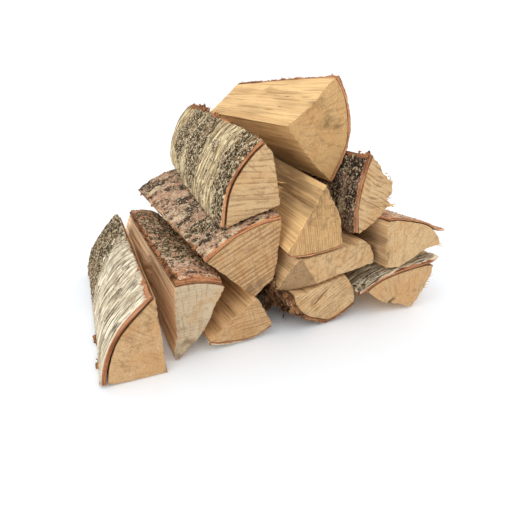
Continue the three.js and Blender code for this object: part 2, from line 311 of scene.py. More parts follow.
class Studio(bpy.types.PropertyGroup):
    floor: FloatVectorProperty(name="Floor", description="Colour of the floor", subtype="COLOR",
                               size=4, default=colour("#f4f8fc"), min=0, max=1)
    sky: FloatProperty(name="Sky", description="Strength of the white surroundings",
                       default=1.05, min=0, max=10)
    key: FloatProperty(name="Key", description="Strength of the soft light from above",
                       default=0.63, min=0, max=20)
    fill: FloatProperty(name="Fill", description="Strength of the soft light from the front left",
                        default=0.47, min=0, max=20)
    glow: FloatProperty(name="Glow", description="Strength of the light that the table throws up",
                        default=0.8, min=0, max=20)
    focal: FloatProperty(name="Focal length", description="Focal length of the camera, in mm",
                         default=28.1, min=10, max=200)


class FirewoodSettings(bpy.types.PropertyGroup):
    wood: PointerProperty(type=WoodSizes)
    bark: PointerProperty(type=BarkSizes)
    bits: PointerProperty(type=LooseBits)
    studio: PointerProperty(type=Studio)


# Noise, the same in every run


def scatter(i, j, k, seed):
    """A number from -1 to 1 for each whole point."""
    mixed = (i * 73856093) ^ (j * 19349663) ^ (k * 83492791) ^ (seed * 26544357)
    mixed = (mixed ^ (mixed >> 13)) * 1274126177
    mixed = (mixed ^ (mixed >> 15)) * 668265263
    return ((mixed ^ (mixed >> 16)) & 0xFFFF) / 32767.5 - 1


def noise(x, y, z, seed):
    """Smooth noise from -1 to 1 that changes over a distance of about 1."""
    x, y, z = np.broadcast_arrays(x, y, z)
    cells = [np.floor(v).astype(np.int64) for v in (x, y, z)]
    inside = [v - c for v, c in zip((x, y, z), cells)]
    eased = [v * v * (3 - 2 * v) for v in inside]
    total = np.zeros(x.shape)
    for dx in (0, 1):
        for dy in (0, 1):
            for dz in (0, 1):
                share = 1.0
                for ease, d in zip(eased, (dx, dy, dz)):
                    share = share * (ease if d else 1 - ease)
                total += share * scatter(cells[0] + dx, cells[1] + dy, cells[2] + dz, seed)
    return total


def rough_noise(x, y, z, seed, layers=3):
    """Noise with finer layers on top, each half as strong."""
    total = 0
    for layer in range(layers):
        finer = 2 ** layer
        total = total + noise(x * finer, y * finer, z * finer, seed + 17 * layer) / finer
    return total / 1.5


def plates(x, y, seed):
    """Distance from the joint between two plates of cracked bark, 0 at the joint."""
    cx, cy = np.floor(x).astype(np.int64), np.floor(y).astype(np.int64)
    nearest = np.full(x.shape, 9.0)
    second = np.full(x.shape, 9.0)
    for dx in (-1, 0, 1):
        for dy in (-1, 0, 1):
            px = cx + dx + 0.5 + 0.45 * scatter(cx + dx, cy + dy, 0, seed)
            py = cy + dy + 0.5 + 0.45 * scatter(cx + dx, cy + dy, 1, seed)
            reach = np.hypot(x - px, y - py)
            second = np.minimum(second, np.maximum(nearest, reach))
            nearest = np.minimum(nearest, reach)
    return second - nearest


def smooth(low, high, value):
    """0 below low, 1 above high, and an even curve between."""
    share = np.clip((value - low) / (high - low), 0, 1)
    return share * share * (3 - 2 * share)


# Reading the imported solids


def log_axes(log):
    """The log's X, Y and Z as rows, in the row frame."""
    turn, rise = math.radians(log["turn"]), math.radians(log["rise"])
    right = (math.cos(turn), math.sin(turn), 0)
    along = (-math.sin(turn) * math.cos(rise), math.cos(turn) * math.cos(rise), math.sin(rise))
    up = (math.sin(turn) * math.sin(rise), -math.cos(turn) * math.sin(rise), math.cos(rise))
    return np.array([right, along, up])


def to_row(points, log):
    """Points of the log frame in the row frame, in metres, and never under the floor."""
    placed = (points @ log_axes(log) + np.array(log["pith"])) * MM
    placed[:, 2] = np.maximum(placed[:, 2], 0)
    return placed


def mesh_points(mesh):
    """Places of the points of a mesh, one in each row."""
    places = np.empty(len(mesh.vertices) * 3)
    mesh.vertices.foreach_get("co", places)
    return places.reshape(-1, 3)


def packed_solid(node, log):
    """Points of a node in the log frame, and its triangles, with shared points merged."""
    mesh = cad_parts[node].data
    mesh.calc_loop_triangles()
    corners = np.empty(len(mesh.loop_triangles) * 3, np.int32)
    mesh.loop_triangles.foreach_get("vertices", corners)
    points, merged = np.unique(np.round(mesh_points(mesh) / MM, 2), axis=0, return_inverse=True)
    triangles = merged.reshape(-1)[corners].reshape(-1, 3)
    return (points - np.array(log["pith"])) @ log_axes(log).T, triangles


def levels_of(points):
    """Number of the section that each point lies in, and where each section lies."""
    order = np.argsort(points[:, 1])
    steps = np.diff(points[order, 1]) > SECTION_GAP
    number = np.empty(len(points), int)
    number[order] = np.concatenate([[0], np.cumsum(steps)])
    return number, np.array([points[number == n, 1].mean() for n in range(number.max() + 1)])


def walk(links):
    """The points of one closed outline in order."""
    start = min(links)
    path = [start]
    before, here = None, start
    while True:
        ahead = [p for p in links[here] if p != before]
        before, here = here, ahead[0]
        if here == start:
            return path
        path.append(here)


def wood_sections(node, log):
    """Outlines of a node's sections, anticlockwise and matched point to point."""
    points, triangles = packed_solid(node, log)
    number, places = levels_of(points)
    links = [{} for _ in places]
    for triangle in triangles:
        if len({number[p] for p in triangle}) == 1:
            continue
        for a, b in zip(triangle, np.roll(triangle, 1)):
            if number[a] == number[b]:
                links[number[a]].setdefault(a, set()).add(b)
                links[number[a]].setdefault(b, set()).add(a)
    outlines = []
    for level in links:
        outline = points[walk(level)][:, (0, 2)]
        x, z = outline.T
        if np.sum(x * np.roll(z, -1) - np.roll(x, -1) * z) < 0:
            outline = outline[::-1]
        if outlines:
            shifts = [np.sum((np.roll(outline, s, 0) - outlines[-1]) ** 2) for s in range(len(outline))]
            outline = np.roll(outline, int(np.argmin(shifts)), 0)
        outlines.append(outline)
    return places, np.array(outlines)


def bark_sections(node, log):
    """Angles, outer radii and inner radii of a strip of bark at each of its sections."""
    points, _ = packed_solid(node, log)
    number, places = levels_of(points)
    middle = points[:, (0, 2)].mean(0)
    facing = math.atan2(middle[1], middle[0])
    sections = []
    for level in range(len(places)):
        x, z = points[number == level][:, (0, 2)].T
        angle = (np.arctan2(z, x) - facing + math.pi) % (2 * math.pi) - math.pi
        order = np.argsort(angle)
        radius = np.hypot(x, z)[order].reshape(-1, 2)
        sections.append([angle[order].reshape(-1, 2).mean(1) + facing, radius.max(1), radius.min(1)])
    return places, np.array(sections).transpose(1, 0, 2)


# Building meshes


def finer_outline(outline, spacing):
    """Weights that turn the points of a section into a finer outline, sharp only at its corners."""
    count = len(outline)
    edges = np.roll(outline, -1, 0) - outline
    lengths = np.hypot(*edges.T)
    before = np.roll(edges, 1, 0)
    turns = np.degrees(np.arctan2(before[:, 0] * edges[:, 1] - before[:, 1] * edges[:, 0],
                                  np.sum(before * edges, 1)))
    sharp = np.abs(turns) > CORNER_TURN
    rows = []
    for i in range(count):
        j, k, h = (i + 1) % count, (i + 2) % count, (i - 1) % count
        steps = max(1, round(lengths[i] / spacing))
        for step in range(steps):
            t = step / steps
            weights = np.zeros(count)
            weights[i] += 2 * t ** 3 - 3 * t ** 2 + 1
            weights[j] += 3 * t ** 2 - 2 * t ** 3
            start, end = t ** 3 - 2 * t ** 2 + t, t ** 3 - t ** 2
            low, high, gain = (i, j, 1.0) if sharp[i] else (h, j, lengths[i] / (lengths[i] + lengths[h]))
            weights[high] += start * gain
            weights[low] -= start * gain
            low, high, gain = (i, j, 1.0) if sharp[j] else (i, k, lengths[i] / (lengths[i] + lengths[j]))
            weights[high] += end * gain
            weights[low] -= end * gain
            rows.append(weights)
    return np.array(rows)


def rows_along(length, spacing):
    """Places of the rings of points along a log, closer together at its two ends."""
    near = np.array(NEAR_END)
    middle = np.arange(near[-1] + spacing, length - near[-1] - spacing / 2, spacing)
    return np.concatenate([near, middle, length - near[::-1]])


def outward(outlines):
    """Unit directions that point out of each outline, for anticlockwise outlines."""
    tangent = np.roll(outlines, -1, 1) - np.roll(outlines, 1, 1)
    normal = np.stack([tangent[..., 1], -tangent[..., 0]], -1)
    return normal / np.maximum(np.linalg.norm(normal, axis=-1, keepdims=True), 1e-9)


def end_faces(outline, spacing, seed):
    """New points inside an outline and the triangles that fill it. Points of the outline come first."""
    low, high = outline.min(0), outline.max(0)
    x, z = np.meshgrid(*(np.arange(a + spacing / 2, b, spacing) for a, b in zip(low, high)))
    x, z = x.ravel(), z.ravel()
    x = x + 0.3 * spacing * noise(x * 5, z * 5, 0.5, seed)
    z = z + 0.3 * spacing * noise(x * 5, z * 5, 7.5, seed)
    inside = np.zeros(x.shape, bool)
    clear = np.full(x.shape, 1e9)
    for (ax, az), (bx, bz) in zip(outline, np.roll(outline, -1, 0)):
        crosses = (az > z) != (bz > z)
        if abs(bz - az) > 1e-12:
            inside ^= crosses & (x < (bx - ax) * (z - az) / (bz - az) + ax)
        square = max((bx - ax) ** 2 + (bz - az) ** 2, 1e-12)
        share = np.clip(((x - ax) * (bx - ax) + (z - az) * (bz - az)) / square, 0, 1)
        clear = np.minimum(clear, np.hypot(x - ax - share * (bx - ax), z - az - share * (bz - az)))
    kept = inside & (clear > 0.45 * spacing)
    grid = np.stack([x[kept], z[kept]], 1)
    count = len(outline)
    every = [Vector(p) for p in np.concatenate([outline, grid])]
    made = delaunay_2d_cdt(every, [], [list(range(count))], 1, 1e-6)
    places, triangles, origins = made[0], made[2], made[3]
    extra, number = [], []
    for place, origin in zip(places, origins):
        if origin:
            number.append(origin[0])
        else:
            number.append(len(every) + len(extra))
            extra.append(place)
    grid = np.concatenate([grid, np.array(extra).reshape(-1, 2)]) if extra else grid
    return grid, [[number[p] for p in t] for t in triangles]


def tube(rings, caps):
    """Points and faces of a closed body: rings of points, and an end face on the first and last."""
    count, around = rings.shape[:2]
    index = np.arange(count * around).reshape(count, around)
    ahead = np.roll(index, -1, 1)
    faces = np.stack([index[:-1], index[1:], ahead[1:], ahead[:-1]], -1).reshape(-1, 4).tolist()
    points = [rings.reshape(-1, 3)]
    total = count * around
    for (inner, triangles), first, flip in zip(caps, (0, (count - 1) * around), (False, True)):
        for triangle in triangles:
            face = [first + p if p < around else total + p - around for p in triangle]
            faces.append(face[::-1] if flip else face)
        points.append(inner)
        total += len(inner)
    return np.concatenate(points), faces


def new_mesh(name, points, faces, attributes):
    """A mesh with values or directions for each of its points."""
    mesh = bpy.data.meshes.new(name)
    mesh.from_pydata(points.tolist(), [], faces)
    for key, values in attributes.items():
        kind, field = ("FLOAT_VECTOR", "vector") if values.ndim == 2 else ("FLOAT", "value")
        layer = mesh.attributes.new(key, kind, "POINT")
        layer.data.foreach_set(field, values.astype(np.float32).ravel())
    return mesh


def new_object(name, data):
    """An object in the scene for a mesh, a light or a camera."""
    made = bpy.data.objects.new(name, data)
    bpy.context.scene.collection.objects.link(made)
    return made


def padded(values, total, rest=0.0):
    """Values of the points round a body, then the same value for all those in its end faces."""
    return np.concatenate([values.ravel(), np.full(total - values.size, rest)])


def new_piece(name, points, faces, attributes, material, replaces):
    """A mesh object at the origin that rides on the root body in place of a node."""
    mesh = new_mesh(name, points, faces, attributes)
    mesh.polygons.foreach_set("use_smooth", np.ones(len(mesh.polygons), bool))
    mesh.set_sharp_from_angle(angle=math.radians(SOFT_EDGE))
    mesh.validate()
    mesh.update()
    piece = new_object(name, mesh)
    mesh.materials.append(material)
    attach(piece, "root")
    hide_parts(replaces)


# Wood


def saw_place(x, z, log):
    """Places along the saw lines of an end face, in mm, and across them, in lines."""
    angle, apart, wavy = math.radians(log["saw"][0]), log["saw"][2], log["saw"][3]
    along, across = x * math.cos(angle) + z * math.sin(angle), z * math.cos(angle) - x * math.sin(angle)
    return along, (across + wavy * noise(along / 15, across / 22, 0.5, 19)) / apart


def saw_marks(x, z, log, sizes, seed):
    """How far the sawn end stands back at each point."""
    along, across = saw_place(x, z, log)
    lines = noise(across, along / 90, 0.5, seed) * log["saw"][1]
    return sizes.saw * (lines + 1.2 * noise(x / 17, z / 17, 3.5, seed) + 1.3)


def riven_relief(points, log, sizes, seed):
    """How far a split face stands out at each point: slow waves, steps where it tore, and fibres."""
    x, y, z = points[..., 0], points[..., 1], points[..., 2]
    waves = noise(x / 21, y / 130, z / 21, seed)
    torn = 1.6 * noise(x / 11, y / 170, z / 11, seed + 1) + 0.5 * noise(x / 5, y / 60, z / 5, seed + 2)
    stair = torn - np.floor(torn)
    stairs = smooth(0.0, 0.85, stair) - smooth(0.85, 1.0, stair)
    fibres = noise(x / 2.3, y / 80, z / 2.3, seed + 3) + 0.6 * noise(x / 1.2, y / 45, z / 1.2, seed + 4)
    return 0.8 * waves + log["riven"] * sizes.steps * (stairs - 0.6) + sizes.fibres * fibres


def check_depth(points, log):
    """Depth of the drying cracks along the log at each point, and the strength of the painted shade in
    them.
    """
    depth = np.zeros(points.shape[:-1])
    dark = np.zeros(points.shape[:-1])
    for number, (x, z, start, end, width, deep) in enumerate(log.get("checks", ())):
        y = points[..., 1]
        aside = 2.2 * noise(y / 38, number + 0.5, 0.5, 91) + 0.7 * noise(y / 11, number + 0.5, 0.5, 92)
        reach = np.hypot(points[..., 0] - x, points[..., 2] - z - aside)
        fade = smooth(start - 12, start + 14, y) * (1 - smooth(end - 25, end + 5, y))
        inside = np.exp(-(reach / width) ** 2) * fade
        depth += deep * inside
        dark = np.maximum(dark, inside)
    return depth, dark


def end_cracks(x, z, y, log):
    """Strength of the cracks across the front end, for their depth and the painted shade in them."""
    dark = np.zeros(x.shape)
    for number, (ax, az, bx, bz, width, strength) in enumerate(log.get("cracks", ())):
        square = (bx - ax) ** 2 + (bz - az) ** 2
        share = np.clip(((x - ax) * (bx - ax) + (z - az) * (bz - az)) / square, 0, 1)
        aside = 0.9 * noise(share * 5, number + 0.5, 0.5, 77)
        reach = np.hypot(x - ax - share * (bx - ax) + aside, z - az - share * (bz - az) + aside)
        dark = np.maximum(dark, strength * np.exp(-(reach / width) ** 2) * (y < 3) * (1 - 0.5 * share))
    return dark


def facet_depth(x, z, log):
    """How far the front end falls back where a corner has split off."""
    if "facet" not in log:
        return np.zeros(x.shape)
    ax, az, bx, bz, slope = log["facet"]
    aside = ((x - ax) * (bz - az) - (z - az) * (bx - ax)) / math.hypot(bx - ax, bz - az)
    return slope * np.maximum(0, aside + 0.6 * noise(x / 4, z / 4, 0.5, 31))


def stain_at(points, log):
    """Strength of the brown stains at each point."""
    total = np.zeros(points.shape[:-1])
    for x, y, z, radius, longer, strength in log.get("stains", ()):
        reach = np.sqrt((points[..., 0] - x) ** 2 + (points[..., 2] - z) ** 2
                        + ((points[..., 1] - y) / longer) ** 2)
        total += strength * np.exp(-(reach / radius) ** 2)
    cloud = rough_noise(points[..., 0] / 7, points[..., 1] / 30, points[..., 2] / 7, 55)
    return np.clip(total * (0.75 + 0.7 * cloud), 0, 1)


def wood_rings(node, log, sizes):
    """Rings of points in X and Z round the wood, the place of each ring, and the log's middle."""
    places, outlines = wood_sections(node, log)
    weights = finer_outline(outlines[0], sizes.across)
    rows = rows_along(places[-1] - places[0], sizes.along) + places[0]
    sections = np.empty((len(rows), outlines.shape[1], 2))
    for point in range(outlines.shape[1]):
        for side in (0, 1):
            sections[:, point, side] = np.interp(rows, places, outlines[:, point, side])
    return np.einsum("cp,rps->rcs", weights, sections), rows, places.mean()


def sawn_ends(points, rows, log, sizes, seed):
    """Draw the first and last ring in by the saw marks and cracks, and make the faces inside them."""
    caps = []
    for row, inward in ((0, 1), (-1, -1)):
        grid, triangles = end_faces(points[row][:, (0, 2)], sizes.end_grid, seed)
        inner = np.stack([grid[:, 0], np.full(len(grid), rows[row]), grid[:, 1]], -1)
        for edge in (points[row], inner):
            back = saw_marks(edge[:, 0], edge[:, 2], log, sizes, seed + 8)
            back = back + CRACK_DEPTH * end_cracks(edge[:, 0], edge[:, 2], edge[:, 1] - rows[0], log)
            edge[:, 1] += inward * back
        caps.append((inner, triangles))
    return caps


def make_wood(name, log, sizes, material, seed):
    """The wood of one log: split faces with steps and fibres, and sawn ends."""
    node = name + "_wood"
    rings, rows, middle = wood_rings(node, log, sizes)
    y = np.repeat(rows[:, None], rings.shape[1], 1)
    points = np.stack([rings[..., 0], y, rings[..., 1]], -1)
    radius = np.hypot(points[..., 0], points[..., 2])
    facing = np.sum(outward(rings) * rings, -1) / np.maximum(radius, 1)
    covered = smooth(-UNDER_BARK, -UNDER_BARK + 4, radius - log["trunk"]) * smooth(0.55, 0.8, facing)
    covered = covered * ("bark" in log)
    wander = [sizes.wander * noise(points[..., 0] / 26, y / 70, points[..., 2] / 26, seed + n)
              for n in (5, 6)]
    points[..., 0] += wander[0] * (1 - covered)
    points[..., 2] += wander[1] * (1 - covered)
    relief = riven_relief(points, log, sizes, seed)
    groove, dark = check_depth(points, log)
    relief = np.where(covered > 0.5, np.clip(0.25 * relief + 0.2, -0.1, 0.4), relief - 0.25) - groove
    near_end = np.minimum(y - rows[0], rows[-1] - y)
    chips = np.maximum(0, noise(points[..., 0] / 3.5, y / 5, points[..., 2] / 3.5, seed + 7) - 0.25)
    relief = relief - 0.3 * np.exp(-near_end / 0.5)
    relief = relief - 1.1 * chips * np.exp(-near_end / 2.5) * (1 - 0.8 * covered)
    normal = outward(points[..., (0, 2)])
    points[..., 0] += relief * normal[..., 0]
    points[..., 2] += relief * normal[..., 1]
    shape, faces = tube(points, sawn_ends(points, rows, log, sizes, seed))
    total, around = len(shape), points.shape[1]
    fallen = facet_depth(shape[:, 0], shape[:, 2], log)
    shape[:, 1] += fallen * np.clip(1 - (shape[:, 1] - rows[0]) / FACET_REACH, 0, 1)
    end = np.zeros(total)
    end[:around] = 1
    end[(len(rows) - 1) * around:] = 1
    off = smooth(0.1, 0.7, fallen) * end * (shape[:, 1] < middle)
    end = end * (1 - off)
    end_crack_shade = end_cracks(shape[:, 0], shape[:, 2], shape[:, 1] - rows[0], log)
    slope = np.abs(np.roll(relief, 1, 1) - np.roll(relief, -1, 1))
    ring_x, ring_z = log.get("rings", (0, 0))
    along, across = saw_place(shape[:, 0], shape[:, 2], log)
    attributes = {
        "grain": shape - np.array([ring_x, 0, ring_z]) + np.array([0, GRAIN_SHIFT * seed, 0]),
        "saw": np.stack([along, across, np.full(total, log["saw"][1])], -1),
        "sawn": end,
        # painted shade inside the drying cracks and the cracks across the ends
        "crack_shade": np.clip(np.maximum(padded(dark, total), end_crack_shade), 0, 1),
        "torn": padded(np.clip(slope - TORN_STEP, 0, 1), total),
        "stain": np.maximum(stain_at(shape, log), off),
        "covered": np.clip(padded(covered, total), 0, 1) * (1 - end),
    }
    new_piece(name + "_split_wood", to_row(shape, log), faces, attributes, material,
              node)


# Bark


def peeled_at(log, share, y, length, arc):
    """1 where the outer bark has come off, 0 where it still holds."""
    gone = np.zeros(share.shape)
    for number, (side, width, low, high) in enumerate(log.get("peel", ())):
        if side == "front":
            reach, place, scale = y, share, arc
        else:
            reach = (share if side == "start" else 1 - share) * arc
            place, scale = y / length, length
        edge = width * (0.75 + 0.6 * rough_noise(place * scale / 15, number + 0.5, 0.5, 61)
                        + 0.2 * noise(place * scale / 2.4, number + 0.5, 0.5, 62))
        window = smooth(low - 0.04, low + 0.03, place) * (1 - smooth(high - 0.03, high + 0.06, place))
        gone = np.maximum(gone, smooth(-0.5, 0.5, edge * window - reach) * (window > 0.02))
    return gone


def moss_at(log, share, y, arc):
    """Strength of the dark patches."""
    total = np.zeros(share.shape)
    for centre, along, radius, strength in log.get("moss", ()):
        reach = ((share - centre) * arc) ** 2 * 0.5 + (y - along) ** 2
        total += strength * np.exp(-reach / radius ** 2)
    return np.clip(total * (0.8 + 0.5 * rough_noise(share * arc / 9, y / 9, 0.5, 44)), 0, 1)


def strip_grid(length, arc, spacing):
    """Share round a strip of bark, depth from 0 at the skin to 1 inside, and Y, in rows of points."""
    columns = max(12, round(arc / spacing))
    lower = max(6, columns // 3)
    skin, inside = np.linspace(0, 1, columns + 1), np.linspace(1, 0, lower + 1)
    steps = np.array([1 / 3, 2 / 3])
    share = np.concatenate([skin, np.ones(2), inside, np.zeros(2)])
    depth = np.concatenate([np.zeros(columns + 1), steps, np.ones(lower + 1), 1 - steps])
    rows = rows_along(length, spacing)
    return (np.repeat(share[None, :], len(rows), 0), np.repeat(depth[None, :], len(rows), 0),
            np.repeat(rows[:, None], len(share), 1))


def between_sections(values, places, share, y):
    """Values of a strip of bark at each of its points, from those of its sections."""
    samples = np.linspace(0, 1, values.shape[1])
    across = np.array([np.interp(share.ravel(), samples, v) for v in values])
    level = np.interp(y.ravel() + places[0], places, np.arange(len(places)))
    first = np.minimum(level.astype(int), len(places) - 2)
    part = level - first
    every = np.arange(level.size)
    return (across[first, every] * (1 - part) + across[first + 1, every] * part).reshape(y.shape)


def bark_relief(log, sizes, coarse, around, y, seed):
    """How far the skin stands out at each point: folds of thin paper, or lumps and plates of cork."""
    pattern = rough_noise(around / 4.5, y / 4.5, 0.5, seed + 1)
    folds = noise(around / 30, y / 3.2, 0.5, seed + 2) + 0.6 * noise(around / 14, y / 1.8, 0.5, seed + 3)
    warp = 0.7 * rough_noise(around / 9, y / 9, 0.5, seed + 13)
    cracks = 1 - smooth(0.0, 0.2, plates(around / 11 + warp, y / 7.5 - warp, seed + 4))
    cracks = cracks * smooth(-0.4, 0.5, noise(around / 20, y / 20, 0.5, seed + 14))
    lumps = rough_noise(around / 2.6, y / 2.6, 0.5, seed + 5)
    paper = sizes.paper * (0.5 * folds + 0.35 * pattern) * (1 - coarse)
    cork = sizes.rough * log.get("rough", 1) * (0.5 * pattern + 0.45 * lumps - 0.55 * cracks) * coarse
    return paper + cork


def rim_faces(points, seed):
    """The sawn rims of a strip of bark, inside its first and last ring of points."""
    caps = []
    for row, inward in ((0, 1), (-1, -1)):
        outline = points[row]
        grid, triangles = end_faces(outline[:, (0, 2)], RIM_GRID, seed)
        gap = np.hypot(grid[:, :1] - outline[None, :, 0], grid[:, 1:] - outline[None, :, 2])
        back = 0.25 + 0.35 * noise(grid[:, 0] / 1.7, grid[:, 1] / 1.7, 0.5, seed)
        rim = outline[np.argmin(gap, 1), 1] + inward * back
        caps.append((np.stack([grid[:, 0], rim, grid[:, 1]], -1), triangles))
    return caps


def make_bark(name, log, sizes, material, seed):
    """The strip of bark on one log: a skin, ragged edges and a rim where it was sawn."""
    node = name + "_bark"
    places, (angles, outer, inner) = bark_sections(node, log)
    slot, papery = BARKS[log["bark"]]["slot"], BARKS[log["bark"]]["papery"]
    length = places[-1] - places[0]
    arc = np.abs(angles[0, -1] - angles[0, 0]) * log["trunk"]
    share, depth, y = strip_grid(length, arc, sizes.grid)
    ragged = log.get("ragged", 3) / arc
    bite = [0.5 + 0.8 * rough_noise(y / 16, n + 0.5, 0.5, seed) + 0.25 * noise(y / 2.5, n, 0, seed)
            for n in (1, 5)]
    bite = [ragged * np.clip(part, 0, 1.6) for part in bite]
    place = bite[0] + share * (1 - bite[0] - bite[1])
    chip = [0.5 + 0.9 * np.abs(rough_noise(place * arc / 7, n, 0.5, seed + 9)) for n in (2, 6)]
    y = chip[0] + y * (length - chip[0] - chip[1]) / length
    angle, out, low = (between_sections(part, places, place, y) for part in (angles, outer, inner))
    thick = out - low
    around = place * arc
    skin = 1 - depth
    moss = moss_at(log, place, y, arc)
    zones = [rough_noise(around / 14, y / 12, depth, seed + n, 4) for n in (11, 12)]
    relief = bark_relief(log, sizes, 1 - papery + papery * moss, around, y, seed)
    waves = 0.7 * noise(around / 40, y / 26, 0.5, seed + 6)
    gone = peeled_at(log, place, y, length, arc)
    room = np.clip(thick / 5, 0.4, 1.2)
    height = (relief - 0.5) * room * (1 - gone) + waves * papery
    height -= gone * sizes.peeled * thick
    height = np.clip(height, -BARK_SUNK * thick, BARK_PROUD)
    lift = sum(curl * smooth(0, 1, 1 - inwards * arc / CURL_REACH) ** 1.5
               for curl, inwards in zip(log.get("curl", (0, 0)), (place, 1 - place)))
    torn = 0.35 * noise(y / 1.6, depth * 3, place * 9, seed + 7) * (depth > 0) * (depth < 1)
    radius = low + thick * skin + height * skin + lift + torn
    points = np.stack([radius * np.cos(angle), y + places[0], radius * np.sin(angle)], -1)
    shape, faces = tube(points, rim_faces(points, seed))
    total = len(shape)
    turned = np.arctan2(shape[:, 2], shape[:, 0])
    turned = np.where(turned < angles.min() - 1, turned + 2 * math.pi, turned)
    reach = np.clip((turned - angles[0, 0]) / (angles[0, -1] - angles[0, 0]), 0, 1)
    samples = np.linspace(0, 1, angles.shape[1])
    inside, outside = (np.interp(reach, samples, part[0]) for part in (inner, outer))
    attributes = {
        "grain": shape + np.array([0, GRAIN_SHIFT * seed, 0]),
        "trunk": np.stack([reach * arc + TRUNK_SHIFT[0] * seed, shape[:, 1] + TRUNK_SHIFT[1] * seed,
                           np.zeros(total)], -1),
        "layer": np.clip((np.hypot(shape[:, 0], shape[:, 2]) - inside) / (outside - inside), 0, 1),
        "inner": padded(depth > 0, total, 1.0),
        "peeled": padded(gone * skin, total),
        # depth of the hollows in the skin, for the painted shade in them
        "hollow_shade": padded(np.clip(-relief * skin, -1.5, 1.5), total),
        "moss": padded(moss, total),
        "dim": padded(zones[0], total),
        "crusted": padded(zones[1], total),
    }
    new_piece(name + "_birch_bark", to_row(shape, log), faces, attributes, material, node)


# Materials


def add(tree, kind, inputs=None, **choices):
    """A new node with its settings and values. A value that is a node or a socket is linked."""
    node = tree.nodes.new(kind)
    for key, value in choices.items():
        setattr(node, key, value)
    for key, value in (inputs or {}).items():
        if isinstance(value, bpy.types.Node):
            value = next(socket for socket in value.outputs if socket.enabled)
        if isinstance(value, bpy.types.NodeSocket):
            tree.links.new(value, node.inputs[key])
        else:
            node.inputs[key].default_value = value
    return node


def new_material(name, roughness, specular):
    """A material with its surface shader, and its tree."""
    material = bpy.data.materials.new(name)
    material.use_nodes = True
    tree = material.node_tree
    tree.nodes.clear()
    shader = add(tree, "ShaderNodeBsdfPrincipled",
                 {"Roughness": roughness, "Specular IOR Level": specular})
    add(tree, "ShaderNodeOutputMaterial", {"Surface": shader.outputs["BSDF"]})
    return material, tree, shader


def patterns(tree, rows):
    """Noise for each named row: where it is read, its size in mm on each axis, detail and roughness."""
    made = {}
    for name, (source, size, detail, rough) in rows.items():
        place = add(tree, "ShaderNodeVectorMath", {0: source, 1: [1 / s for s in size]},
                    operation="MULTIPLY")
        made[name] = add(tree, "ShaderNodeTexNoise", {"Vector": place, "Scale": 1.0, "Detail": detail,
                                                      "Roughness": rough})
    return made


def coats(tree, paint, rows):
    """Paint with coats over it: for each a pattern, where it starts and is full, strength, colour."""
    for pattern, start, full, strength, tint in rows:
        share = add(tree, "ShaderNodeMapRange", {"Value": pattern, "From Min": start, "From Max": full,
                                                 "To Max": strength}, interpolation_type="SMOOTHSTEP")
        paint = add(tree, "ShaderNodeMix", {0: share, 6: paint, 7: tint}, data_type="RGBA")
    return paint


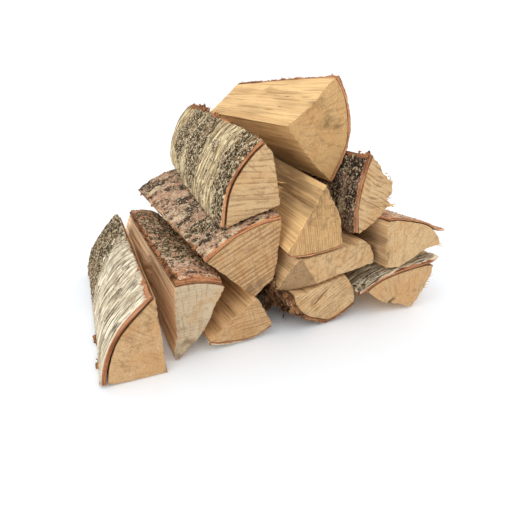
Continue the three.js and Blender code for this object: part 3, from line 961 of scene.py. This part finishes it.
def wood_material(name, light, deep, sawn):
    """Dry birch, split along the grain and sawn across it.

    The split faces show fibres of about 1 mm that run far along the log, thin dark lines and
    broad soft streaks. The sawn ends show the same fibres end on, as fine specks, with faint
    growth rings, soft rays out from the pith and the lines that the saw left.
    """
    material, tree, shader = new_material(name, 0.82, 0.25)
    read = {key: add(tree, "ShaderNodeAttribute", attribute_name=key)
            for key in ("grain", "saw", "sawn", "crack_shade", "torn", "stain", "covered")}
    grain, saw = read["grain"].outputs["Vector"], read["saw"].outputs["Vector"]
    fac = {key: node.outputs["Fac"] for key, node in read.items()}
    light, deep, sawn = colour(light), colour(deep), colour(sawn)
    old, thin, warm = colour("#8a6846"), colour("#6f4c2b"), colour("#bd8a52")
    made = patterns(tree, {
        "fibre": (grain, (1.3, 90, 1.3), 2.0, 0.55),
        "line": (grain, (2.0, 150, 2.0), 1.0, 0.5),
        "streak": (grain, (6.5, 220, 6.5), 3.0, 0.55),
        "cloud": (grain, (24, 110, 24), 2.0, 0.5),
        "pore": (grain, (1.1, 8, 1.1), 1.0, 0.5),
        "speck": (grain, (1.2, 200, 1.2), 1.0, 0.5),
        "fleck": (grain, (5, 200, 5), 3.0, 0.65),
        "cut": (saw, (80, 0.4, 1), 2.0, 0.5),
        "sweep": (saw, (70, 2.2, 1), 2.0, 0.5),
        "break": (saw, (14, 1.3, 1), 2.0, 0.5),
    })
    separate = add(tree, "ShaderNodeSeparateXYZ", {0: saw}).outputs
    across = add(tree, "ShaderNodeVectorMath", {0: grain, 1: (1, 0, 1)}, operation="MULTIPLY")
    reach = add(tree, "ShaderNodeVectorMath", {0: across}, operation="LENGTH")
    side = add(tree, "ShaderNodeSeparateXYZ", {0: grain}).outputs
    bearing = add(tree, "ShaderNodeMath", {0: side["X"], 1: side["Z"]}, operation="ARCTAN2")
    radial = add(tree, "ShaderNodeCombineXYZ", {0: bearing, 1: reach})
    made.update(patterns(tree, {"ray": (radial.outputs[0], (0.03, 26, 1), 2.0, 0.55)}))
    wavy = add(tree, "ShaderNodeMath", {0: made["cloud"], 1: 9.0, 2: 0.0}, operation="MULTIPLY_ADD")
    turns = add(tree, "ShaderNodeMath", {0: reach, 1: 2 * math.pi / RING_WIDTH, 2: wavy},
                operation="MULTIPLY_ADD")
    rings = add(tree, "ShaderNodeMath", {0: turns}, operation="SINE")
    shifted = add(tree, "ShaderNodeMath", {0: made["sweep"], 1: 7.0}, operation="MULTIPLY")
    phase = add(tree, "ShaderNodeMath", {0: separate["Y"], 1: 2 * math.pi, 2: shifted},
                operation="MULTIPLY_ADD")
    made["kerf"] = add(tree, "ShaderNodeMath", {0: phase}, operation="SINE")
    split = coats(tree, light, (
        (made["streak"], 0.47, 0.66, 0.34, deep),
        (made["fibre"], 0.47, 0.66, 0.42, deep),
        (made["line"], 0.58, 0.64, 0.45, thin),
        (made["pore"], 0.66, 0.76, 0.30, thin),
        (made["cloud"], 0.52, 0.70, 0.30, old),
        (rings, 0.2, 1.0, 0.10, deep),
    ))
    marks = {}
    faint = add(tree, "ShaderNodeMapRange",
                {"Value": made["break"], "From Min": 0.42, "From Max": 0.56, "To Min": 0.35})
    strength = add(tree, "ShaderNodeMath", {0: separate["Z"], 1: faint}, operation="MULTIPLY")
    for key, low, high in (("kerf", 0.1, 1.0), ("cut", 0.49, 0.63), ("sweep", 0.46, 0.60)):
        share = add(tree, "ShaderNodeMapRange", {"Value": made[key], "From Min": low, "From Max": high})
        marks[key] = add(tree, "ShaderNodeMath", {0: share, 1: strength}, operation="MULTIPLY")
    end = coats(tree, sawn, (
        (made["speck"], 0.50, 0.70, 0.38, deep),
        (made["speck"], 0.48, 0.34, 0.18, colour("#e8cda2")),
        (made["ray"], 0.52, 0.66, 0.42, old),
        (made["fleck"], 0.52, 0.66, 0.34, old),
        (made["cloud"], 0.46, 0.60, 0.30, warm),
        (rings, 0.0, 1.0, 0.06, deep),
        (marks["sweep"], 0.0, 1.0, 0.20, deep),
        (marks["cut"], 0.0, 1.0, 0.50, old),
        (marks["kerf"], 0.0, 1.0, 0.75, old),
    ))
    paint = add(tree, "ShaderNodeMix", {0: fac["sawn"], 6: split, 7: end}, data_type="RGBA")
    stain = add(tree, "ShaderNodeMath", {0: made["fleck"], 1: 0.9, 2: -0.45}, operation="MULTIPLY_ADD")
    stain = add(tree, "ShaderNodeMath", {0: fac["stain"], 1: stain}, operation="ADD")
    paint = coats(tree, paint, (
        # painted shade: the wood near the bark, in the gap under it, is darkened to dark brown
        (fac["covered"], 0.0, 1.0, 0.70, colour("#704728")),
        (stain, 0.12, 0.75, 0.68, colour("#6f563b")),
        (fac["torn"], 0.1, 1.0, 0.30, thin),
        # painted shade: the cracks are darkened inside
        (fac["crack_shade"], 0.25, 0.90, 0.75, colour("#4a3220")),
    ))
    tree.links.new(paint.outputs[2], shader.inputs["Base Color"])
    lines = add(tree, "ShaderNodeMath", {0: marks["kerf"], 1: -0.5}, operation="MULTIPLY")
    height = add(tree, "ShaderNodeMath", {0: lines, 1: fac["sawn"], 2: made["fibre"]},
                 operation="MULTIPLY_ADD")
    bump = add(tree, "ShaderNodeBump", {"Height": height, "Strength": 0.4, "Distance": 0.0008})
    tree.links.new(bump.outputs[0], shader.inputs["Normal"])
    return material


def bark_material(name, look, sizes):
    """Birch bark: a papery skin with dark streaks round the trunk, or old rough cork.

    The skin has streaks of 1 to 3 mm, drawn wider than the finest real ones so that they show.
    Cork is mottled by plates and lichen of 3 to 5 mm with pale specks. Where it was sawn or has
    peeled, the inner bark shows orange-brown in thin sheets.
    """
    material, tree, shader = new_material(name, 0.92, 0.06)
    read = {key: add(tree, "ShaderNodeAttribute", attribute_name=key)
            for key in ("grain", "trunk", "layer", "inner", "peeled", "hollow_shade", "moss", "dim", "crusted")}
    trunk, grain = read["trunk"].outputs["Vector"], read["grain"].outputs["Vector"]
    fac = {key: node.outputs["Fac"] for key, node in read.items()}
    made = patterns(tree, {
        "streak": (trunk, (26, 2.8, 1), 3.0, 0.6),
        "swipe": (trunk, (30, 6, 1), 3.0, 0.6),
        "band": (trunk, (48, 7, 1), 2.0, 0.5),
        "wrinkle": (trunk, (15, 1.7, 1), 2.0, 0.55),
        "dash": (trunk, (8, 1.2, 1), 1.0, 0.5),
        "patch": (trunk, (26, 21, 1), 3.0, 0.6),
        "blotch": (trunk, (9, 7, 1), 3.0, 0.6),
        "mottle": (trunk, (4.0, 3.2, 1), 3.0, 0.62),
        "lichen": (grain, (3.6, 3.6, 3.6), 2.0, 0.6),
        "speck": (grain, (1.9, 1.9, 1.9), 2.0, 0.6),
        "fibre": (trunk, (2.0, 26, 1), 2.0, 0.6),
    })
    mid, pale, dark, worn = (colour(look[key]) for key in ("mid", "pale", "dark", "worn"))
    # the near-black colour here is painted shade for the hollows of the cork
    pit_shade, bright = colour("#1d1814"), colour("#d9cfba")
    cover, papery = look["cover"], look["papery"]
    fine = add(tree, "ShaderNodeMath", {0: made["blotch"], 1: 2.0, 2: -2.5}, operation="MULTIPLY_ADD")
    fine = add(tree, "ShaderNodeMath", {0: made["mottle"], 1: 3.0, 2: fine}, operation="MULTIPLY_ADD")
    dim = add(tree, "ShaderNodeMath", {0: fac["dim"], 1: fine}, operation="ADD")
    crusted = add(tree, "ShaderNodeMath", {0: fac["crusted"], 1: fine}, operation="ADD")
    if papery:
        outer = coats(tree, pale, (
            (made["patch"], 0.48, 0.62, 0.50, mid),
            (made["band"], 0.53 - cover, 0.60 - cover, 0.60, mid),
            (made["swipe"], 0.55 - cover, 0.60 - cover, 0.70, worn),
            (made["wrinkle"], 0.53, 0.59, 0.50, worn),
            (made["streak"], 0.55 - cover, 0.59 - cover, 0.80, worn),
            (made["streak"], 0.60 - cover, 0.64 - cover, 0.90, dark),
            (made["dash"], 0.62, 0.67, 0.80, dark),
            (dim, 0.75 - 6 * cover, 0.95 - 6 * cover, 0.80, dark),
            (made["speck"], 0.62, 0.68, 0.50, bright),
        ))
    else:
        outer = coats(tree, mid, (
            (dim, 0.05, -0.35, 0.70, worn),
            (crusted, 0.08, 0.35, 0.80, pale),
            (dim, 0.20 - 6 * cover, 0.45 - 6 * cover, 0.90, dark),
            (made["lichen"], 0.58, 0.62, 0.75, pale),
            (made["mottle"], 0.60, 0.65, 0.80, dark),
            (made["speck"], 0.61, 0.66, 0.80, bright),
            # painted shade in the hollows of the cork
            (fac["hollow_shade"], 0.15, 0.9, 0.75, pit_shade),
        ))
    # Dark growth with pale crusts, in the places that "moss" gives
    growth = coats(tree, colour("#746046"), (
        (made["mottle"], 0.44, 0.50, 0.92, colour("#271d12")),
        (dim, -0.1, -0.5, 0.50, colour("#8d6b4c")),
        (made["lichen"], 0.55, 0.60, 0.85, colour("#c4b494")),
        (made["speck"], 0.60, 0.65, 0.80, colour("#e0d2ae")),
        # painted shade in the hollows of the growth
        (fac["hollow_shade"], 0.1, 0.8, 0.80, pit_shade),
    ))
    ragged = add(tree, "ShaderNodeMath", {0: made["blotch"], 1: 2.2, 2: fac["moss"]},
                 operation="MULTIPLY_ADD")
    ragged = add(tree, "ShaderNodeMath", {0: made["lichen"], 1: 1.6, 2: ragged}, operation="MULTIPLY_ADD")
    edge = add(tree, "ShaderNodeMapRange", {"Value": ragged, "From Min": 2.35, "From Max": 2.5})
    outer = add(tree, "ShaderNodeMix", {0: edge, 6: outer, 7: growth}, data_type="RGBA")
    # Inner bark in thin sheets, on the sawn rim and where the skin has peeled
    along = add(tree, "ShaderNodeSeparateXYZ", {0: trunk}).outputs
    sheet = add(tree, "ShaderNodeCombineXYZ", {0: along["X"], 1: fac["layer"], 2: along["Y"]})
    made.update(patterns(tree, {"sheet": (sheet.outputs[0], (24, 0.22, 300), 2.0, 0.5)}))
    rim = coats(tree, colour(look["rim"]), (
        (made["speck"], 0.48, 0.68, 0.45, list(sizes.shade)),
        (made["fibre"], 0.52, 0.64, 0.35, list(sizes.shade)),
        (made["sheet"], 0.52, 0.62, 0.70, colour("#6f3f28")),
        (made["sheet"], 0.46, 0.36, 0.45, colour("#d9a780")),
        # painted shade: the inner edge of the sawn rim, beside the gap over the wood, is darkened
        (fac["layer"], 0.24, 0.0, 0.70, colour("#593b28")),
        (fac["layer"], 0.74 - 0.2 * papery, 0.95 - 0.15 * papery, 0.65 + 0.2 * papery, pale),
    ))
    torn = add(tree, "ShaderNodeMath", {0: made["lichen"], 1: 1.4, 2: fac["peeled"]},
               operation="MULTIPLY_ADD")
    torn = add(tree, "ShaderNodeMapRange", {"Value": torn, "From Min": 1.15, "From Max": 1.3})
    bare = add(tree, "ShaderNodeMath", {0: fac["inner"], 1: torn}, operation="MAXIMUM")
    paint = add(tree, "ShaderNodeMix", {0: bare, 6: outer, 7: rim}, data_type="RGBA")
    tree.links.new(paint.outputs[2], shader.inputs["Base Color"])
    height = add(tree, "ShaderNodeMath", {0: made["streak"], 1: papery, 2: made["mottle"]},
                 operation="MULTIPLY_ADD")
    bump = add(tree, "ShaderNodeBump", {"Height": height, "Strength": 0.6, "Distance": 0.0012})
    tree.links.new(bump.outputs[0], shader.inputs["Normal"])
    return material


def crumb_material(name, base, other, size):
    """Matt dry crumbs, splinters or flakes that vary between two colours over a size in mm."""
    material, tree, shader = new_material(name, 0.92, 0.08)
    place = add(tree, "ShaderNodeTexCoord").outputs["Object"]
    made = patterns(tree, {"cloud": (place, [size * MM] * 3, 2.0, 0.6),
                           "speck": (place, [size * MM / 4] * 3, 1.0, 0.5)})
    paint = coats(tree, colour(base), ((made["cloud"], 0.42, 0.58, 0.9, colour(other)),
                                       (made["speck"], 0.50, 0.62, 0.4, colour(other))))
    tree.links.new(paint.outputs[2], shader.inputs["Base Color"])
    return material


# Scattered pieces


def scatter_tree(name, shape, on_faces):
    """Geometry Nodes that set copies of a shape on the faces, or else on the points, of a mesh.

    The mesh has the attributes "bed", how thickly copies lie, "lay", the way that they point,
    and "grow", how much larger than usual they are. On faces they stand square to the face.
    """
    tree = bpy.data.node_groups.new(name, "GeometryNodeTree")
    for label, kind in (("Geometry", "Geometry"), ("Density", "Float"), ("Size", "Float"),
                        ("Tilt", "Float"), ("Seed", "Int"), ("Finish", "Material")):
        tree.interface.new_socket(label, in_out="INPUT", socket_type="NodeSocket" + kind)
    tree.interface.new_socket("Geometry", in_out="OUTPUT", socket_type="NodeSocketGeometry")
    given = add(tree, "NodeGroupInput").outputs
    if on_faces:
        bed = add(tree, "GeometryNodeInputNamedAttribute", {"Name": "bed"}, data_type="FLOAT")
        density = add(tree, "ShaderNodeMath", {0: bed, 1: given["Density"]}, operation="MULTIPLY")
        spread = add(tree, "GeometryNodeDistributePointsOnFaces",
                     {"Mesh": given["Geometry"], "Density": density, "Seed": given["Seed"]})
        points, lay = spread.outputs["Points"], spread.outputs["Rotation"]
    else:
        way = add(tree, "GeometryNodeInputNamedAttribute", {"Name": "lay"}, data_type="FLOAT_VECTOR")
        points = given["Geometry"]
        lay = add(tree, "FunctionNodeAlignRotationToVector", {"Vector": way}, axis="Z")
    twist = add(tree, "FunctionNodeRandomValue",
                {"Min": (-1, -1, -9), "Max": (1, 1, 9), "Seed": given["Seed"]}, data_type="FLOAT_VECTOR")
    twist = add(tree, "ShaderNodeVectorMath", {0: twist, "Scale": given["Tilt"]}, operation="SCALE")
    turned = add(tree, "FunctionNodeRotateRotation", {"Rotation": lay, "Rotate By": twist},
                 rotation_space="LOCAL")
    varied = add(tree, "FunctionNodeRandomValue", {"Min": (0.5, 0.5, 0.5), "Max": (1.25, 1.25, 1.25),
                                                   "Seed": given["Seed"]}, data_type="FLOAT_VECTOR")
    grow = add(tree, "GeometryNodeInputNamedAttribute", {"Name": "grow"}, data_type="FLOAT")
    size = add(tree, "ShaderNodeMath", {0: grow, 1: given["Size"]}, operation="MULTIPLY")
    sized = add(tree, "ShaderNodeVectorMath", {0: varied, "Scale": size}, operation="SCALE")
    source = add(tree, "GeometryNodeObjectInfo", {"Object": shape}).outputs["Geometry"]
    copies = add(tree, "GeometryNodeInstanceOnPoints",
                 {"Points": points, "Instance": source, "Rotation": turned, "Scale": sized})
    real = add(tree, "GeometryNodeRealizeInstances", {"Geometry": copies})
    made = add(tree, "GeometryNodeSetMaterial", {"Geometry": real, "Material": given["Finish"]})
    add(tree, "NodeGroupOutput", {"Geometry": made})
    return tree


def strew(name, shape, on_faces, base, inputs):
    """A plain mesh piece of copies of a shape on a base mesh, which is used up."""
    tree = scatter_tree(name, shape, on_faces)
    holder = new_object(name + "_base", base)
    modifier = holder.modifiers.new("Scatter", "NODES")
    modifier.node_group = tree
    sockets = {item.name: item.identifier for item in tree.interface.items_tree if item.in_out == "INPUT"}
    for label, value in inputs.items():
        modifier[sockets[label]] = value
    mesh = bpy.data.meshes.new_from_object(holder.evaluated_get(bpy.context.evaluated_depsgraph_get()))
    if not mesh.polygons:
        raise RuntimeError(name + " came out empty")
    bpy.data.objects.remove(holder)
    bpy.data.meshes.remove(base)
    bpy.data.node_groups.remove(tree)
    mesh.name = name
    for layer in [item for item in mesh.attributes if item.name in ("bed", "lay", "grow")]:
        mesh.attributes.remove(layer)
    places = mesh_points(mesh)
    places[:, 2] = np.maximum(places[:, 2], 0)
    mesh.vertices.foreach_set("co", places.ravel())
    piece = new_object(name, mesh)
    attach(piece, "root")


def tree_shape(name, points, faces):
    """A shape for the trees to copy. It is no part of the scene itself."""
    return bpy.data.objects.new(name, new_mesh(name, np.array(points), faces, {}))


def spindle(name, sides, rings, low, high):
    """A closed shape for the trees: rings of height, two radii and sideways shift between two tips."""
    turns = [2 * math.pi * (side + 0.2 * math.sin(5 * side)) / sides for side in range(sides)]
    points = [low]
    for height, wide, deep, shift in rings:
        points += [(wide * math.cos(turn) + shift, deep * math.sin(turn), height) for turn in turns]
    points.append(high)
    ring = [[1 + sides * row + side % sides for side in range(sides + 1)] for row in range(len(rings))]
    faces = []
    for side in range(sides):
        faces.append((0, ring[0][side + 1], ring[0][side]))
        faces += [(a[side], a[side + 1], b[side + 1], b[side]) for a, b in zip(ring, ring[1:])]
        faces.append((ring[-1][side], ring[-1][side + 1], len(points) - 1))
    return tree_shape(name, points, faces)


def curled_sheet(name):
    """A closed thin sheet that curls up at its two sides, for the trees."""
    turns = np.linspace(-1.0, 1.0, 5)
    section = [(radius * math.sin(turn), 0.6 - radius * math.cos(turn))
               for radius, order in ((0.6, turns), (0.54, turns[::-1])) for turn in order]
    rings = [[(x * (1 - 0.9 * place * place), place + 0.1 * x, z + 0.15 * place) for x, z in section]
             for place in (-0.5, -0.15, 0.2, 0.5)]
    ends = [(i, i + 1, 8 - i, 9 - i) for i in range(4)]
    return tree_shape(name, *tube(np.array(rings), [(np.empty((0, 3)), ends)] * 2))


def bent_strand(name):
    """A closed thin strand that bends over, for the trees."""
    rings = []
    for turn, wide in ((0.0, 0.06), (0.45, 0.05), (0.95, 0.045), (1.5, 0.03), (2.1, 0.012)):
        middle = np.array([0.5 * (1 - math.cos(turn)), 0.1 * turn, 0.5 * math.sin(turn)])
        out = np.array([math.cos(turn), 0, -math.sin(turn)])
        rings.append([middle + wide * (math.cos(side) * out + 0.7 * math.sin(side) * np.array([0, 1, 0]))
                      for side in (0, 2.1, 4.2)])
    return tree_shape(name, *tube(np.array(rings), [(np.empty((0, 3)), [(0, 1, 2)])] * 2))


def discard(shape):
    """Remove a shape that the trees copied."""
    mesh = shape.data
    bpy.data.objects.remove(shape)
    bpy.data.meshes.remove(mesh)


def rough_bed(zone):
    """All the rough bark as one mesh, with how thickly crumbs lie on it in zones of one kind."""
    places, faces, beds = [], [], []
    first = 0
    for name, log in LOGS.items():
        if "bark" not in log:
            continue
        mesh = bpy.data.objects[name + "_birch_bark"].data
        count = len(mesh.vertices)
        value = {}
        for key in ("inner", "peeled", "moss", zone):
            value[key] = np.empty(count)
            mesh.attributes[key].data.foreach_get("value", value[key])
        coarse = np.maximum(1 - BARKS[log["bark"]]["papery"], value["moss"])
        bed = coarse * (1 - value["inner"]) * (1 - value["peeled"]) * smooth(-0.35, 0.45, value[zone])
        faces += [[first + p for p in face.vertices] for face in mesh.polygons
                  if bed[face.vertices[0]] > 0.05]
        places.append(mesh_points(mesh))
        beds.append(bed)
        first += count
    beds = np.concatenate(beds)
    return new_mesh("rough_bed", np.concatenate(places), faces, {"bed": beds, "grow": np.ones(len(beds))})


def points_mesh(name, rows):
    """A mesh of points for the trees, from rows of places, ways and sizes."""
    places, ways, sizes = (np.concatenate(part) for part in zip(*rows))
    return new_mesh(name, places, [], {"lay": ways, "grow": sizes})


def on_strip(angle, radius, y, spread, size, log, random):
    """Places on a strip of bark, with ways that point out from the pith and spread, and sizes."""
    out = np.stack([np.cos(angle), np.zeros(len(y)), np.sin(angle)], 1)
    at = out * radius[:, None]
    at[:, 1] = y
    ways = (out + random.normal(0, spread, at.shape)) @ log_axes(log)
    return to_row(at, log), ways, size * (0.5 + random.random(len(y)))


def splinter_points(random):
    """Points on the edges where the wood tore, with the way that each splinter points."""
    rows = []
    for log in LOGS.values():
        for start, end, way, count, size in log.get("splinters", ()):
            share = random.random((count, 1))
            at = np.array(start) + share * (np.array(end) - np.array(start))
            at = at + random.normal(0, 0.6, (count, 3))
            ways = (np.array(way) + random.normal(0, 0.35, (count, 3))) @ log_axes(log)
            rows.append((to_row(at, log), ways, size * (0.5 + random.random(count))))
    return points_mesh("splinter_points", rows)


def flake_points(random):
    """Points on the edges of the bark where thin layers curl off."""
    rows = []
    for name, log in LOGS.items():
        for edge, start, end, count, size in log.get("flakes", ()):
            levels, parts = bark_sections(name + "_bark", log)
            column = 0 if edge == "start" else -1
            y = start + random.random(count) * (end - start) + levels[0]
            angle, high, low = (np.interp(y, levels, part[:, column]) for part in parts)
            angle = angle + (0.03 if edge == "start" else -0.03) * random.random(count)
            radius = low + (high - low) * (0.55 + 0.5 * random.random(count))
            rows.append(on_strip(angle, radius, y, 0.3, size, log, random))
    return points_mesh("flake_points", rows)


def frayed_points(kind, random):
    """Points where strips of bark have frayed, with the way that each strand or tatter lies."""
    rows = []
    for name, log in LOGS.items():
        for start, end, low_share, high_share, reach, count, size in log.get(kind, ()):
            levels, (angles, _, inner) = bark_sections(name + "_bark", log)
            y = start + random.random(count) * (end - start) + levels[0]
            share = low_share + random.random(count) * (high_share - low_share)
            angle = angles[0, 0] + share * (angles[0, -1] - angles[0, 0])
            radius = inner[0].mean() + 2 + random.random(count) ** 2 * reach
            rows.append(on_strip(angle, radius, y, 0.8, size, log, random))
    return points_mesh(kind + "_points", rows)


def settings():
    """The sizes and colours of this scene."""
    return bpy.context.scene.firewood


class FIREWOOD_OT_camera(bpy.types.Operator):
    """Place the camera where the photograph was taken from."""
    bl_idname = "firewood.camera"
    bl_label = "Place the camera"

    def execute(self, context):
        data = bpy.data.cameras.new("camera")
        data.sensor_width = 36
        data.lens = settings().studio.focal
        camera = new_object("camera", data)
        camera.location = Vector(CAMERA_PLACE) * MM
        camera.rotation_euler = [math.radians(turn) for turn in CAMERA_TURN]
        context.scene.camera = camera
        return {"FINISHED"}


class FIREWOOD_OT_wood(bpy.types.Operator):
    """Build the split and sawn wood of every log."""
    bl_idname = "firewood.wood"
    bl_label = "Build the wood"

    def execute(self, context):
        sizes = settings().wood
        finishes = {kind: wood_material(f"split_birch_{kind}", *look[1:]) for kind, look in WOODS.items()}
        for seed, (name, log) in enumerate(LOGS.items(), 1):
            make_wood(name, log, sizes, finishes[log["wood"]], seed)
        return {"FINISHED"}


class FIREWOOD_OT_bark(bpy.types.Operator):
    """Build the strips of bark."""
    bl_idname = "firewood.bark"
    bl_label = "Build the bark"

    def execute(self, context):
        sizes = settings().bark
        finishes = {kind: bark_material(f"birch_bark_{kind}", look, sizes)
                    for kind, look in BARKS.items()}
        for seed, (name, log) in enumerate(LOGS.items(), 1):
            if "bark" in log:
                make_bark(name, log, sizes, finishes[log["bark"]], seed + 40)
        return {"FINISHED"}


class FIREWOOD_OT_lichen(bpy.types.Operator):
    """Strew crumbs of old bark and flecks of lichen on the rough bark."""
    bl_idname = "firewood.lichen"
    bl_label = "Strew the lichen"

    def execute(self, context):
        bits = settings().bits
        lump = spindle("lump", 5, ((-0.12, 0.52, 0.4, 0), (0.2, 0.36, 0.3, 0.06)), (0, 0, -0.3),
                       (0.05, 0, 0.38))
        for number, (name, material, zone, share, base, other, slot) in enumerate((
                ("bark_crumbs_dark", "bark_cork_dark", "dim", 0.9, "#33291e", "#61503b", "dark_bark"),
                ("lichen_flecks_pale", "lichen_crust_pale", "crusted", 0.8, "#cdbe9f", "#948166",
                 "grey_bark"))):
            finish = crumb_material(material, base, other, 3)
            strew(name, lump, True, rough_bed(zone), {
                "Density": bits.crumbs * share, "Size": bits.crumb_size, "Tilt": 0.35,
                "Seed": bits.seed + number, "Finish": finish})
        discard(lump)
        return {"FINISHED"}


class FIREWOOD_OT_splinters(bpy.types.Operator):
    """Set splinters on the edges where the wood tore."""
    bl_idname = "firewood.splinters"
    bl_label = "Set the splinters"

    def execute(self, context):
        bits = settings().bits
        sliver = spindle("sliver", 4, ((0, 0.1, 0.045, 0), (0.55, 0.07, 0.03, 0.05)), (0, 0, -0.3),
                         (0.16, 0, 1))
        finish = crumb_material("split_birch_slivers", "#dcb57e", "#a97c4a", 4)
        base = splinter_points(np.random.default_rng(bits.seed))
        strew("wood_splinters", sliver, False, base, {
            "Size": bits.splinter_length, "Tilt": 0.3, "Seed": bits.seed, "Finish": finish})
        discard(sliver)
        return {"FINISHED"}


class FIREWOOD_OT_flakes(bpy.types.Operator):
    """Hang curled flakes on the edges of the bark."""
    bl_idname = "firewood.flakes"
    bl_label = "Hang the flakes"

    def execute(self, context):
        bits = settings().bits
        sheet = curled_sheet("sheet")
        finish = crumb_material("birch_inner_bark_flakes", "#a8744c", "#5d402c", 5)
        base = flake_points(np.random.default_rng(bits.seed + 1))
        strew("bark_flakes", sheet, False, base, {
            "Size": bits.flake_size, "Tilt": 0.2, "Seed": bits.seed, "Finish": finish})
        discard(sheet)
        return {"FINISHED"}


class FIREWOOD_OT_strands(bpy.types.Operator):
    """Set the strands of the frayed bark."""
    bl_idname = "firewood.strands"
    bl_label = "Fray the bark"

    def execute(self, context):
        bits = settings().bits
        finish = crumb_material("frayed_birch_bast", "#3a281b", "#8a6444", 6)
        shapes = {"strands": bent_strand("strand"), "tatters": curled_sheet("tatter")}
        for number, (kind, shape) in enumerate(shapes.items()):
            base = frayed_points(kind, np.random.default_rng(bits.seed + 2 + number))
            strew("bark_" + kind, shape, False, base, {
                "Size": bits.strand_length, "Tilt": 0.3, "Seed": bits.seed + number, "Finish": finish})
            discard(shape)
        return {"FINISHED"}


class FIREWOOD_OT_stage(bpy.types.Operator):
    """Lay the white floor and light it."""
    bl_idname = "firewood.stage"
    bl_label = "Set the stage"

    def execute(self, context):
        studio = settings().studio
        scene = context.scene
        corners = np.array([(-1, -1, 0), (1, -1, 0), (1, 1, 0), (-1, 1, 0)]) * FLOOR_REACH
        mesh = new_mesh("floor", corners, [(0, 1, 2, 3)], {})
        floor = new_object("floor", mesh)
        material, _, shader = new_material("white_floor_paper", 0.9, 0.1)
        shader.inputs["Base Color"].default_value = list(studio.floor)
        mesh.materials.append(material)
        floor.location.z = -FLOOR_DROP
        floor.visible_shadow = False        # so that the light from below gets past it
        for name, power, spread, place in (("key", studio.key, 70, (-0.4, -0.35, 1.0)),
                                           ("fill", studio.fill, 30, (-1.0, -0.8, 0.12)),
                                           ("glow", studio.glow, 60, (-1.0, -0.3, -0.5))):
            light = bpy.data.lights.new(name, "SUN")
            light.energy = power
            light.angle = math.radians(spread)
            lamp = new_object(name, light)
            lamp.location = place
            lamp.rotation_euler = (-Vector(place)).to_track_quat("-Z", "Y").to_euler()
        world = bpy.data.worlds.new("white_room")
        world.use_nodes = True
        world.node_tree.nodes.clear()
        shine = add(world.node_tree, "ShaderNodeBackground",
                    {"Color": (1, 1, 1, 1), "Strength": studio.sky})
        add(world.node_tree, "ShaderNodeOutputWorld", {"Surface": shine.outputs[0]})
        scene.world = world
        scene.view_settings.view_transform = "Standard"
        return {"FINISHED"}


class FIREWOOD_PT_panel(bpy.types.Panel):
    """The steps of the scene, and its sizes and colours."""
    bl_label = "Firewood"
    bl_idname = "FIREWOOD_PT_panel"
    bl_space_type = "VIEW_3D"
    bl_region_type = "UI"
    bl_category = "Firewood"

    def draw(self, context):
        for name in STEPS:
            self.layout.operator(f"firewood.{name}")
        for part in ("wood", "bark", "bits", "studio"):
            group = getattr(settings(), part)
            box = self.layout.box()
            for key in group.__annotations__:
                box.prop(group, key)


STEPS = ("camera", "wood", "bark", "lichen", "splinters", "flakes", "strands", "stage")
CLASSES = (WoodSizes, BarkSizes, LooseBits, Studio, FirewoodSettings, FIREWOOD_OT_camera,
           FIREWOOD_OT_wood, FIREWOOD_OT_bark, FIREWOOD_OT_lichen, FIREWOOD_OT_splinters,
           FIREWOOD_OT_flakes, FIREWOOD_OT_strands, FIREWOOD_OT_stage, FIREWOOD_PT_panel)


def register():
    for item in CLASSES:
        bpy.utils.register_class(item)
    bpy.types.Scene.firewood = PointerProperty(type=FirewoodSettings)


def unregister():
    del bpy.types.Scene.firewood
    for item in reversed(CLASSES):
        bpy.utils.unregister_class(item)


def main():
    register()
    for name in STEPS:
        getattr(bpy.ops.firewood, name)()


if __name__ == "__main__":
    main()
